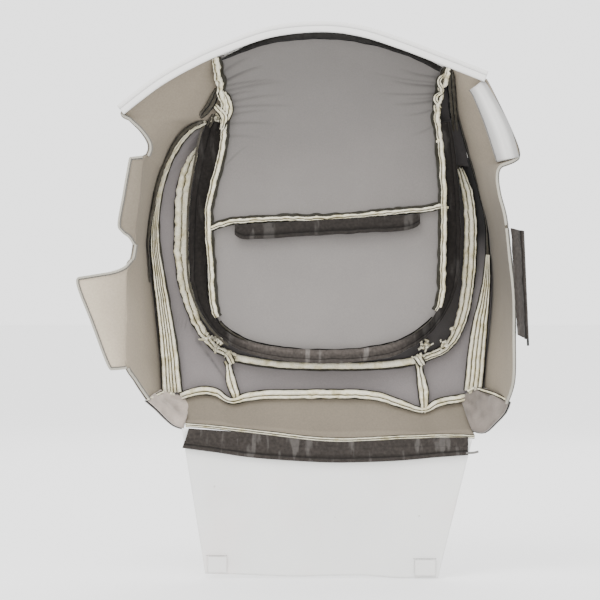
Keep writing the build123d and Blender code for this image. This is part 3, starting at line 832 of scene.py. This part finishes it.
def build_bolsters():
    crest = spline(BOLSTER_CREST)
    inner = between_points(on_insert(INSERT_EDGE, 2), (-129, 228), (155, 281))[:, :3]
    lowest = int(np.argmin(crest[:, 2]))
    left, right = wall_seams()
    left, right = left[left[:, 2] < 196], right[right[:, 2] < 172]
    bottom = spline([row[:3] for row in OUTER_BOTTOM])
    gore_left, gore_right = LEFT_GORE[1][0], RIGHT_GORE[1][0]
    crest_left = crest[:lowest][crest[:lowest, 0] <= gore_left]
    crest_right = crest[lowest:][crest[lowest:, 0] >= gore_right]
    crest_low = crest[(crest[:, 0] > gore_left) & (crest[:, 0] < gore_right) & (crest[:, 2] < 0)]
    outer_left = np.vstack([left, bottom[bottom[:, 0] < gore_left + 8]])
    outer_right = np.vstack([bottom[bottom[:, 0] > gore_right + 3], right[::-1]])
    outer_low = bottom[(bottom[:, 0] > gore_left + 8) & (bottom[:, 0] < gore_right + 3)]
    crest, crest_left, crest_right = crest[:, :3], crest_left[:, :3], crest_right[:, :3]
    crest_low = crest_low[:, :3]
    start_left = np.array([[-140, -12, 230], [-148, -4, 212], [-156, 10, 197]])
    end_right = np.array([[181, 11, 172], [174, -2, 208], [165, -22, 246], [158, -44, 276]])
    crest_left = np.vstack([start_left, crest_left])
    around = np.vstack([start_left, crest, end_right])
    grids = {"inner_bolster": ruled(inner, around, 250, 12),
             "left_bolster": ruled(crest_left, outer_left, 130, 16),
             "right_bolster": ruled(crest_right, outer_right, 130, 16),
             "lower_bolster": ruled(crest_low, outer_low, 84, 16)}
    for k, (name, grid) in enumerate(grids.items()):
        relief = wobble(grid, 40, 8 + k) * 1.3 + wobble(grid, 14, 30) * 0.3
        tone = np.ones(grid.shape[:2])
        # Painted shade: the inner bolster, deep between the insert and the crest, is painted dark.
        if name == "inner_bolster":
            tone *= 0.24
        # Painted shade: the right bolster darkens to near black towards its top, where the wall shades
        # it.
        if name == "right_bolster":
            tone *= 1 - 0.94 * np.clip((grid[..., 2] + 15) / 90, 0, 1)
        if name == "left_bolster":
            folds = creases(grid, [((-192, -40), (-166, -56), 1.2, 1.3),
                                   ((-166, -64), (-122, -130), 1.4, 1.8)])
            relief = relief + folds
            # Painted shade in the left bolster's folds.
            tone = tone * (1 - 0.3 * folds)
        puff = 1.0 if name == "inner_bolster" else 3.0
        lined_panel(f"{name}_lining", grid, FOAM, BOLSTER_SCRIM, "bolster_scrim",
                    [f"{name}_backing"], puff, relief, tone, (0.5, 0.4))
        leather_panel(f"{name}_leather", grid, FOAM + PLY_GAP - 1.0, 5.0, "outer_leather",
                      [f"{name}_face"], 20 + k)


def build_bolster_seams():
    crest = BOLSTER_CREST
    allowance("crest_allowance_left", crest[:9], (1.1, 1), 9.0, 5, ["bolster_crest_seam"],
              ruffle=1.8, stagger=-0.05, grain=9)
    allowance("crest_allowance_bottom", crest[8:13], (1,), 8.5, 15, ruffle=0.7, lean=1.2)
    allowance("crest_allowance_right", crest[12:], (1, 1.1, 0.5), 9.0, 16, stagger=0.1, grain=9)
    allowance("outer_left_allowance", OUTER_LEFT, (3, 2, 2, 2, 3), 10.0, 6, ["outer_left_seam"],
              ruffle=0.5, gather=left_gather, stagger=0.10, dark=2.0)
    allowance("outer_right_allowance", OUTER_RIGHT[5:], (2, 2, 2, 2), 10.0, 7, ["outer_right_seam"],
              ruffle=0.5, stagger=0.10)
    allowance("outer_right_fold", OUTER_RIGHT[:6], (1,), 3.0, 17, slot="fleece", ruffle=0.2, ply=DARK_PLY_AND_SHADE)
    allowance("outer_bottom_allowance", OUTER_BOTTOM, (3, 2), 9.0, 8, ["outer_bottom_seam"],
              ruffle=0.8, stagger=0.12)
    for k, (side, seam) in enumerate((("left", LEFT_GORE), ("right", RIGHT_GORE))):
        allowance(f"{side}_gore_allowance", seam, (1, 1), 9.0, 9 + k, [f"{side}_gore_seam"],
                  ruffle=0.8, stagger=-0.15, grain=9)
    allowance("bottom_piping_edges", PIPING, (1, 1), 4.5, 12, ["bottom_piping"], "hem_leather",
              ruffle=0.35, dark=0.5)
    # Painted shade: a near-black strip along the left wall's seam, where the wall shades the bolster.
    shadow = [(x - 4.6, y - 7, z + 1.5, 2.6) for x, y, z, _ in OUTER_LEFT[:5]]
    shadow += [(-227, 3, 64, 1.8), (-226, 4, 40, 1.0), (-225, 4, 10, 0.4)]
    allowance("left_gathered_ply", shadow, (1,), 6.5, 13, slot="fleece", dark=0.3, grain=8, ply=DARK_PLY_AND_SHADE)
    # Painted shade: near-black strips beside the upper insert seams, where the bolsters lie in shade.
    for k, rows in enumerate(SHADE_STRIP_ROWS):
        allowance(f"upper_gathered_ply_{k + 1}", rows, (1, 1), 6.0, 18 + k, slot="fleece", grain=9,
                  ply=DARK_PLY_AND_SHADE)
    for k, rows in enumerate(GUSSET_SEAMS):
        allowance(f"gusset_allowance_{k + 1}", rows, (1,), 2.6, 24 + k, ruffle=0.4, dark=0.9)


def build_knots():
    for k, rows in enumerate(KNOTS):
        allowance(f"twisted_allowance_{k + 1}", rows, (1, 1), 5.0, 120 + k, ruffle=1.4, grain=7,
                  stagger=0.3)


def build_frays():
    """Ragged ends of foam and scrim where the allowances meet, as clusters of short torn strips."""
    random = np.random.default_rng(4)
    parts = []
    for x, y, z, radius, count in FRAYS:
        for _ in range(count):
            turn = random.uniform(0, 2 * math.pi)
            start = np.array([x, y, z]) + random.normal(0, radius * 0.32, 3) * [1, 0.4, 1]
            heading = np.array([math.cos(turn), random.uniform(-0.5, 0.2), math.sin(turn)])
            bend = random.normal(0, 0.5, 3)
            t = np.linspace(0, 1, 8)[:, None]
            path = start + (heading * t + bend * t**2 * 0.6) * radius * random.uniform(0.35, 0.75)
            half = random.uniform(0.9, 1.9) * (1 - 0.2 * t[:, 0]) * (1 + 0.35 * wobble(path, 2.5, turn))
            shade = random.uniform(0.45, 1.05)
            section = leaf_section(half, half * random.uniform(1.2, 2.6))
            parts.append(sweep_parts(path, section, FORWARD, LEAF_TONE[None] * shade))
    verts, faces, tones = join_parts(parts)
    place(add_mesh("frayed_ends", verts, faces, SEAM, tones), "cover", "seam_allowance")


def welt(name, path, offset, half, seed):
    """The outer side of a seam: the two leathers turned in and pressed."""
    path = path[:, :3] + np.array(offset)
    section = np.array([(-1, -0.55), (-1.04, 0), (-0.8, 0.5), (-0.3, 0.72), (-0.08, 0.30), (0.08, 0.30),
                        (0.3, 0.72), (0.8, 0.5), (1.04, 0), (1, -0.55)]) * half
    swell = (1 + 0.06 * wobble(path, 10, seed))[:, None, None] * section[None]
    verts, faces, tones = sweep_parts(path, swell, -FORWARD)
    place(add_mesh(name, verts, faces, OUTER, tones), "cover", "outer_leather")


def build_welts():
    """The seams' outer side, and the patches that close the cover between insert and walls on top."""
    edge = on_insert(INSERT_EDGE)
    left, right = wall_seams()
    welts = (("insert", edge, (0, 6.5, 0), 4.5),
             ("cross", spline(with_depth(CROSS_SEAM)), (0, 6.0, 0), 3.2),
             ("crest", spline(BOLSTER_CREST), (0, 6.0, 0), 4.8),
             ("left_outer", left, (-2.5, 5.5, 0), 5.5), ("right_outer", right, (4.0, 7.5, 0), 5.0),
             ("bottom_outer", spline(OUTER_BOTTOM), (0, 4.5, -1.5), 4.6),
             ("left_gore", spline(LEFT_GORE), (0, 6.0, 0), 5.0),
             ("right_gore", spline(RIGHT_GORE), (0, 6.0, 0), 5.0))
    for k, (name, path, offset, half) in enumerate(welts):
        welt(f"{name}_welt", path, offset, half, 130 + k)
    shoulders = (("left", (-138, 290), (-131, 196), left[left[:, 2] > 194], -4),
                 ("right", (155, 281), (150, 164), right[right[:, 2] > 156], 6))
    for side, top, foot, far, out in shoulders:
        near = between_points(edge, top, foot)
        far = far if far[0, 2] > far[-1, 2] else far[::-1]
        grid = ruled(near + [-out / 2, 4, 0], far + [out, 4, 0], 50, 12)
        grid[..., 1] += 4 * np.linspace(0, 1, 50)[:, None]**2
        # Painted shade: the shoulder linings are near black, as the deep gap between insert and wall.
        lined_panel(f"{side}_shoulder_lining", grid, 2.0, BOLSTER_SCRIM, "bolster_scrim", [], tone=0.2)
        leather_panel(f"{side}_shoulder_leather", grid[:-2], 2.5, 3.0, "outer_leather", [], 138)


# ---- Walls, gussets, hems

def edge_hem(name, path, body, width=2.8):
    """The turned leather edge of a wall or flange, and the stitch line beside it."""
    side, lift = frames(path, FORWARD)
    middle = path - side * (width / 2 - 0.8) + lift * 0.9
    ribbon(name, middle, width, 2.6, BINDING, body, "hem_leather")
    inner = path - side * width + lift * 0.35
    cords(f"{name}_thread", [inner], 0.55, THREAD, body, "hem_leather")


def wall(name, pairs, seed, tone):
    """One side wall, whose tone is a function of its grid. Returns the grid."""
    grid = pairs_grid(pairs, 26)
    ripple = wobble(grid, 60, seed) * 1.6 + wobble(grid, 20, seed) * 0.3
    lined_panel(f"{name}_lining", grid, LINING, BOXING_FELT, "boxing_lining",
                [f"{name}_lining"], 2.0, ripple, tone(grid), (0.3, 0.0))
    leather_panel(f"{name}_leather", grid, LINING + PLY_GAP, 2.6, "outer_leather",
                  [f"{name}_face"], seed + 3)
    return grid


def left_tone(grid):
    """The left wall is painted darker along the seam as shade, and is lighter low down."""
    from_seam = np.linspace(0, 1, grid.shape[1])[None, :]
    low = np.clip((60 - grid[..., 2]) / 100, 0, 1)
    return (0.72 + 0.34 * np.clip(from_seam * 2.2, 0, 1)) * (0.95 + 0.42 * low * from_seam)


def right_tone(grid):
    """The right wall is darkest at mid height, where it turns from the light."""
    from_seam = np.linspace(0, 1, grid.shape[1])[None, :]
    middle = np.exp(-((grid[..., 2] - 40) / 110)**2)
    return (0.80 + 0.20 * np.clip(from_seam * 3, 0, 1)) * (1.22 - 0.70 * middle)


def build_walls():
    left = wall("left_boxing", LEFT_WALL, 31, left_tone)
    right = wall("right_boxing", RIGHT_WALL, 32, right_tone)
    for k, (low, high) in enumerate(((168, 222), (37, 57), (-200, -97))):
        path = between_heights(left[:, -1], low, high)
        path = resample(path, max(int(len(path) * 1.5), 8))
        edge_hem(f"left_rim_hem_{k + 1}", path, "cover")
    for k, (low, high) in enumerate(((78, 166), (-200, 78))):
        edge_hem(f"right_rim_hem_{k + 1}", between_heights(right[:, -1], low, high), "cover", 3.2)


def build_ears():
    for k, (name, pairs) in enumerate((("left_upper", LEFT_UPPER_EAR), ("left_lower", LEFT_LOWER_EAR))):
        body = f"{name}_flange"
        grid = pairs_grid(pairs, 14 if k == 0 else 24)
        normal = outward(grid)
        grid = grid + normal * (wobble(grid, 45, 40 + k) * 1.2)[..., None]
        shade = np.linspace(*((0.78, 1.06), (1.40, 2.5))[k], grid.shape[1])
        fold = bend_between("cover", body, grid[len(grid) // 2, 0], grid[len(grid) // 2, 3])
        lining = slab(f"{name}_ear_lining", grid, grid + normal * 1.2, BOXING_FELT,
                      np.broadcast_to(shade, grid.shape[:2]))
        place(lining, fold, "ear_lining", f"{name}_ear")
        cloth_sheet(lining, *EAR_CLOTH[name])
        outer = slab(f"{name}_ear_leather", grid + normal * 1.4, grid + normal * 2.6, OUTER)
        place(outer, fold, "outer_leather")
        rim = np.vstack([grid[0, 4:-1], grid[:, -1], grid[-1, -2:3:-1]])
        rim = resample(rim, int(len(rim) * 1.4))
        edge_hem(f"{name}_ear_hem", rim, body)
        strip = resample(grid[2:-4, -1] + normal[2:-4, -1] * 3.3, 40)
        strip = strip - frames(strip, FORWARD)[0] * 4.0
        ribbon(f"{name}_retainer_strip", strip, 6.0, 1.6, PLASTIC, body, "retainer_plastic",
               [f"{name}_retainer"])


def build_right_ear():
    """The right upper flange, folded in over the wall, sewn back on itself into a flat tunnel."""
    count = 40
    fold = resample(spline(RIGHT_FLANGE_FOLD), count)
    free = resample(spline(RIGHT_FLANGE_FREE), count)
    across = unit(free - fold)
    front = -outward(ruled(fold, free, count, 4))[:, 0]
    width = np.linalg.norm(free - fold, axis=-1)
    angle = np.linspace(0, 2 * math.pi, 28, endpoint=False)
    x = 0.5 - 0.5 * np.cos(angle)
    lift = np.sin(angle)
    thick = 3.0 + 1.2 * np.sin(3 * math.pi * x) * (lift > 0)

    def shell(share, height):
        """Rings at a share of the width from the fold, and at a height off the wall."""
        return (fold[:, None] + across[:, None] * (share[None, :, None] * width[:, None, None])
                + front[:, None] * (height + 2.2)[None, :, None])

    verts = shell(x, lift * thick * 0.8)
    inner = shell(0.5 + (x - 0.5) * 0.93, lift * (thick * 0.8 - 1.0))
    ripple = wobble(verts, 18, 50) * 0.9
    verts = verts + front[:, None] * ripple[..., None] * 0.6
    inner = inner + front[:, None] * ripple[..., None] * 0.6
    rows, points = verts.shape[:2]
    far = rows * points
    at = np.arange(far).reshape(rows, points)
    after = np.roll(at, -1, axis=1)
    outer_faces = tube_quads(rows, points)
    faces = np.vstack([outer_faces, outer_faces[:, ::-1] + far,
                       np.stack([at[0], after[0], after[0] + far, at[0] + far], -1),
                       np.stack([at[-1], at[-1] + far, after[-1] + far, after[-1]], -1)]).tolist()
    # Painted light and shade: highlights along the tunnel's face with darker sides, and its inside near
    # black as the shade in its open ends.
    facets = np.interp(x, [0, 0.12, 0.24, 0.55, 0.66, 1], [0.34, 0.46, 0.9, 0.95, 0.56, 0.44])
    tone = np.r_[np.tile(facets, rows), np.full(far, 0.2)]
    both = np.vstack([verts.reshape(-1, 3), inner.reshape(-1, 3)])
    obj = add_mesh("right_upper_flange_tunnel", both, faces, HEM, tone)
    place(obj, "right_upper_flange", "outer_leather", "right_upper_ear")
    cloth_sheet(obj, path_length(fold), path_length(verts[count // 2]), "folded")
    line = fold + across * (width * 0.93)[:, None] + front * 4.6
    cords("right_flange_thread", [line], 0.5, THREAD, "right_upper_flange", "hem_leather")


def build_gussets():
    for k, (name, pairs) in enumerate((("left", LEFT_GUSSET), ("right", RIGHT_GUSSET))):
        grid = pairs_grid(pairs, 18)
        v = np.linspace(0, 1, grid.shape[1])[None, :]
        fold = np.sin(v * 7 + 2 * wobble(grid, 20, k)) * 1.4 * np.sin(math.pi * v)
        relief = wobble(grid, 13, 60 + k) * 3.4 * np.sin(math.pi * v) + fold
        folds = creases(grid, GUSSET_FOLDS[name])
        relief = relief + folds
        # Random mottling, painted shade in the folds, and the right gusset darker than the left.
        tone = (1 + 0.30 * wobble(grid, 11, 64 + k)) * (1 - 0.16 * folds) * (1.12, 0.54)[k]
        lined_panel(f"{name}_gusset_lining", grid, 2.4, GUSSET_FELT, "gusset_lining",
                    [f"{name}_corner_gusset_lining"], -3.0, relief, tone, (0.35, 0.2))
        leather_panel(f"{name}_gusset_leather", grid, 4.5, 1.5, "outer_leather",
                      [f"{name}_corner_gusset_face"], 62 + k)


def build_bottom_boxing():
    top = spline(OUTER_BOTTOM)
    foot = spline(PIPING)
    grid = ruled(top, foot, 120, 20)
    relief = wobble(grid, 50, 70) * 1.4 + wobble(grid, 15, 71) * 0.3
    v = np.linspace(0, 1, 20)[None, :]
    tone = np.where(v > 0.82, 0.98, 0.82) * np.ones(grid.shape[:2])
    lined_panel("bottom_boxing_lining_cloth", grid, LINING, BOXING_FELT, "boxing_lining",
                ["bottom_boxing_lining"], 2.0, relief, tone, (0.35, 0.1))
    leather_panel("bottom_boxing_leather", grid, LINING + PLY_GAP, 3.0, "outer_leather",
                  ["bottom_boxing_face"], 72)


def build_top():
    band = spline(TOP_BAND)
    path = band[:, :3] + FORWARD * (0.5 * wobble(band[:, :3], 30, 80))[:, None]
    w, t = 7.0, 2.4
    section = np.array([(-w, -t * 0.5), (-w, t * 0.5), (-w * 0.84, t), (-w * 0.34, t * 0.95),
                        (-w * 0.22, t * 0.55), (-w * 0.08, t * 0.9), (w * 0.3, t * 1.1),
                        (w * 0.7, t * 0.95), (w * 0.94, t * 0.5), (w, 0), (w * 0.9, -t * 0.6),
                        (w * 0.6, -t), (0, -t), (-w * 0.8, -t)])
    shade = np.array([0.7, 0.95, 1, 0.92, 0.66, 0.95, 1, 1, 0.9, 0.8, 0.7, 0.8, 0.8, 0.7])
    verts, faces, tones = sweep_parts(path, section, FORWARD, shade[None])
    place(add_mesh("top_band_hem", verts, faces, HEM, tones), "cover", "hem_leather", "top_band")
    rows = [(x, lining_y(z) - 6.0, z - 2.4, 4.0) for x, z in INSERT_TOP[1:-1]]
    rows[0] = (-131, lining_y(290) - 6.0, 289, 0.8)
    allowance("top_edge_tape", rows, (1,), 4.0, 14, ["top_tape"], "edge_tape", ruffle=0.7, dark=0.6,
              grain=12, ply=TAPE)
    count = 60
    inner = resample(spline([(x, lining_y(z) + 1.0, z - 1) for x, z in INSERT_TOP[1:-1]]), count)
    outer = resample(path[(path[:, 0] > -136) & (path[:, 0] < 150)], count)
    grid = ruled(inner, outer + np.array([0, 5.0, -2.0]), count, 6)
    obj = slab("top_facing", grid, grid + outward(grid) * 2.0, HEM)
    place(obj, "cover", "hem_leather")


# ---- Listings and flap

def listing_section(drop, thickness, radius):
    """Cross-section of a listing as (down the drop, off the front): sheet, then rod tunnel."""
    t = thickness / 2
    start = drop - 2 * radius
    angle = np.linspace(math.radians(150), math.radians(-150), 12)
    ring = np.stack([drop - radius + np.cos(angle) * radius, np.sin(angle) * radius], -1)
    down = [(0, t), (start * 0.33, t), (start * 0.66, t), (start - 0.6, t), (start, t / 2)]
    up = [(start, -t / 2), (start - 0.6, -t), (start * 0.66, -t), (start * 0.33, -t), (0, -t)]
    return np.array(down + ring.tolist() + up)


def listing(name, fold, free, front, thickness, radius, body, nodes, seed, crumple=0.6, shade=1.0):
    """A fleece strip from a fold line to its free edge, with a rod tunnel along it."""
    drop = np.linalg.norm(free - fold, axis=-1)
    down = unit(free - fold)
    sections = np.stack([listing_section(d, thickness, radius) for d in drop])
    verts = fold[:, None] + down[:, None] * sections[..., :1] + front[:, None] * sections[..., 1:]
    share = np.clip(sections[..., 0] / drop[:, None], 0, 1)
    rough = wobble(verts, 16, seed) * 1.6 + wobble(verts, 6, seed) * 0.7
    verts = verts + front[:, None] * (rough * crumple * share * (1.2 - share) * 2.6)[..., None]
    top = (wobble(fold, 8, seed + 1) * 1.2)[:, None] * (1 - share)**3 * crumple
    verts = verts + down[:, None] * top[..., None]
    # Painted shade: darker in the groove where the sheet turns into the rod tunnel.
    groove = np.exp(-((sections[..., 0] - (drop[:, None] - 2 * radius)) / 1.0)**2)
    tone = shade * (1 - 0.6 * groove * (sections[..., 1] > 0))
    obj = add_mesh(name, verts.reshape(-1, 3), closed_tube(*verts.shape[:2]), FLEECE, tone)
    place(obj, body, "fleece", *nodes)
    return cloth_sheet(obj, path_length(fold), drop.mean() + (math.pi - 2) * radius, "hung")


def build_centre_listing():
    fold = spline(CENTRE_FOLD, 2.0)
    top = fold + np.array([0, 1.0, 4.0])
    wave = wobble(fold, 16, 90) * 1.2
    ends = np.minimum(np.arange(len(fold)), np.arange(len(fold))[::-1]) * 2.0
    wave = wave + 7.0 * np.exp(-ends / 7)
    free = fold + np.array([0, 0, -16.0]) + np.array([0, 0, 1.0]) * wave[:, None]
    front = np.broadcast_to(FORWARD, fold.shape)
    middle = fold[len(fold) // 2]
    bend = bend_between("cover", "centre_listing", middle + [0, 0, 2.5], middle - [0, 0, 1.5])
    listing("centre_listing_strip", top, free, front, 1.5, 2.6, bend,
            ["centre_listing_sleeve", "centre_listing_rod"], 91)


def build_bottom_listing():
    """A root sewn in at the piping, reaching down to the flap's fold, and the strip that swings below
    it.
    """
    rows = spline(BOTTOM_LISTING, 2.0)
    x, top, free = rows.T
    y = np.full(len(x), LISTING_Y)
    slant = 8 * np.clip((-140 - x) / 34, 0, 1)
    hinge = np.clip(FLAP_FOLD_Z, free + 9, top - 2)
    share = (top - hinge) / (top - free)
    start = np.stack([x, y + 1.5, top], -1)
    middle = np.stack([x - slant * share, y + 1.5 * (1 - share), hinge], -1)
    end = np.stack([x - slant, y, free], -1)
    front = np.broadcast_to(FORWARD, start.shape)
    grid = ruled(start, middle + np.array([0, 0.3, -2.0]), len(x), 8)
    tone = np.full(grid.shape[:2], 1.5)
    root = slab("bottom_listing_root", grid + FORWARD * 0.8, grid - FORWARD * 0.8, FLEECE, tone)
    place(root, flap_bend(3.5, LISTING_Y), "fleece")
    cloth_sheet(root, path_length(start), (top - hinge).mean() + 2, "hung")
    listing("bottom_listing_strip", middle, end, front, 1.6, 2.8, "bottom_listing",
            ["bottom_listing_sleeve", "bottom_listing_rod"], 93, 0.9, 1.5)
    last = np.array([[178, -31.5, -207.5], [188, -31.5, -206.8], [194, -31, -205.4]])
    cords("bottom_rod_end", [last], 1.5, THREAD, "bottom_listing", "listing_rod")


def build_right_listing():
    fold, free = spline(RIGHT_FOLD, 2.0), spline(RIGHT_FREE, 2.0)
    free = resample(free, len(fold))
    front = unit(np.cross(unit(free - fold), unit(np.gradient(fold, axis=0))))
    if front[0, 1] > 0:
        front = -front
    listing("right_listing_strip", fold, free, front, 1.6, 2.8, "right_listing",
            ["right_listing_sleeve"], 95, 1.1, 1.7)
    rod_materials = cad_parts["right_listing_rod"].data.materials
    rod_materials.clear()
    rod_materials.append(PLASTIC)


def build_u_listing():
    """The wide fleece band that runs round the insert, taut across the lower corners."""
    line = spline(U_LISTING, 1.8)
    path, half = line[:, :3], line[:, 3]
    side, lift = frames(path, FORWARD)
    across = np.array([-1, -0.6, -0.1, 0.30, 0.38, 0.46, 0.72, 0.95, 1.0, 0.95, 0.6, 0, -0.6, -1])
    height = np.array([0.8, 1.0, 0.9, 1.0, 0.1, 1.6, 2.2, 1.7, 0.0, -0.8, -0.8, -0.8, -0.8, -0.8])
    section = np.stack([across[None] * half[:, None], np.broadcast_to(height, (len(path), 14))], -1)
    verts = path[:, None] + side[:, None] * section[..., :1] + lift[:, None] * section[..., 1:]
    rough = wobble(verts, 18, 97) * 1.6 + wobble(verts, 7, 98) * 0.8
    section = section + np.stack([wobble(verts, 12, 99) * 0.8, rough * (section[..., 1] > -0.5)], -1)
    # Darker along the arms and lighter along the bottom, with a paler streak near one edge there;
    # painted shade along the fold line at 0.38 across.
    bottom = np.clip((-58 - path[:, 2]) / 20, 0, 1)[:, None]
    pale_streak = 0.6 * bottom * np.exp(-((across + 0.75) / 0.25)**2)[None]
    tone = (0.52 + 1.5 * bottom + 3.2 * pale_streak) * (1 - 0.6 * np.exp(-((across - 0.38) / 0.05)**2))[None]
    verts, faces, tones = sweep_parts(path, section, FORWARD, tone)
    obj = add_mesh("u_listing_band", verts, faces, FLEECE, tones)
    place(obj, "cover", "fleece", "u_listing_sleeve", "u_listing_wire")
    cloth_sheet(obj, path_length(path), 2 * half.mean(), "stretched")
    arm = slice(6, int(len(path) * 0.36))
    edge = path[arm] + side[arm] * (half[arm, None] + 2.0) + FORWARD * 1.0
    cords("u_listing_cord", [edge], 1.5, DARK_PLY_AND_SHADE, "cover", "fleece")


def build_flap():
    top = spline(with_depth(FLAP_TOP, FLAP_Y))
    foot = spline(with_depth(FLAP_FOOT, FLAP_Y))
    grid = ruled(top, foot, 120, 60)
    down = np.linspace(0, 1, 60)[None, :]
    sway = wobble(grid, 120, 100) * 5.0 + wobble(grid, 35, 101) * 0.7
    y_shift = sway * np.clip((down - 0.12) * 2, 0, 1) * 0.45
    grid[..., 1] += y_shift - 1.1
    back = grid + np.array([0, 1.8, 0])
    obj = slab("flap_sheet", grid, back, FLAP)
    place(obj, flap_bend(4.5, FLAP_Y), "flap_leather", "pull_through_flap")
    cloth_sheet(obj, *FLAP_CLOTH)
    for k, (name, (left, right, z)) in enumerate(TABS.items()):
        body = f"{name}_flap_tab_body"
        low = z - TAB_DROP
        u = np.linspace(0, 1, 14)[:, None]
        v = np.linspace(0, 1, 10)[None, :]
        tab = np.stack([left + 2 + (right - left - 4) * u + 0 * v, -27.4 + 0 * u + 0 * v,
                        z + (low - z) * v + 0 * u], -1)
        tab[..., 1] += wobble(tab, 12, 110 + k) * 0.5
        tape = slab(f"{name}_tab_tape", tab, tab + np.array([0, 1.4, 0]), HEM)
        place(tape, body, "hook_tape", f"{name}_flap_tab")
        cloth_sheet(tape, right - left - 4, z - low, "hung")
        seam = np.stack([np.linspace(left, right, 16), np.full(16, -26.9), np.full(16, z + 1.6)], -1)
        stitches(f"{name}_tab_stitches", seam, 2.4, 0.9, 0.42, "pull_through_flap_body",
                 "flap_leather")


# ---- Camera, light and floor, in metres

EYE = (-0.0325, -2.96, -0.013)
LENS = 138.46
FLOOR_GAP = 0.0015
LIGHTS = {"key": ((-0.7, -1.6, 2.0), 1.2, 42),      # place, size, power
          "fill": ((1.6, -2.0, 0.7), 1.8, 8),
          "back": ((0.3, 2.4, 1.6), 2.0, 20)}


def build_stage():
    bpy.ops.mesh.primitive_plane_add(size=60, location=(0, 0, cad_box[0][2] - FLOOR_GAP))
    floor = bpy.context.object
    floor.name = "floor"
    m = Nodes("floor_paint", 0.9, Specular_IOR_Level=0.1)
    m.shader.inputs["Base Color"].default_value = (0.93, 0.93, 0.93, 1)
    floor.data.materials.append(m.material)

    world = bpy.data.worlds.new("studio")
    world.use_nodes = True
    world.node_tree.nodes["Background"].inputs["Color"].default_value = (1, 1, 1, 1)
    world.node_tree.nodes["Background"].inputs["Strength"].default_value = 2.4
    bpy.context.scene.world = world

    for name, (place_at, size, power) in LIGHTS.items():
        light = bpy.data.lights.new(name, "AREA")
        light.size = size
        light.energy = power
        lamp = bpy.data.objects.new(name, light)
        lamp.location = place_at
        lamp.rotation_euler = (-Vector(place_at)).to_track_quat("-Z", "Y").to_euler()
        bpy.context.scene.collection.objects.link(lamp)

    camera = bpy.data.cameras.new("camera")
    camera.lens = LENS
    camera.sensor_width = 36
    eye = bpy.data.objects.new("camera", camera)
    eye.location = EYE
    eye.rotation_euler = (math.radians(90), 0, 0)
    bpy.context.scene.collection.objects.link(eye)
    bpy.context.scene.camera = eye


for build in (build_stage, build_insert, build_insert_seams, build_bolsters, build_bolster_seams,
              build_knots, build_frays, build_welts, build_walls, build_ears, build_right_ear,
              build_gussets, build_bottom_boxing, build_top, build_centre_listing,
              build_bottom_listing, build_right_listing, build_u_listing, build_flap):
    build()
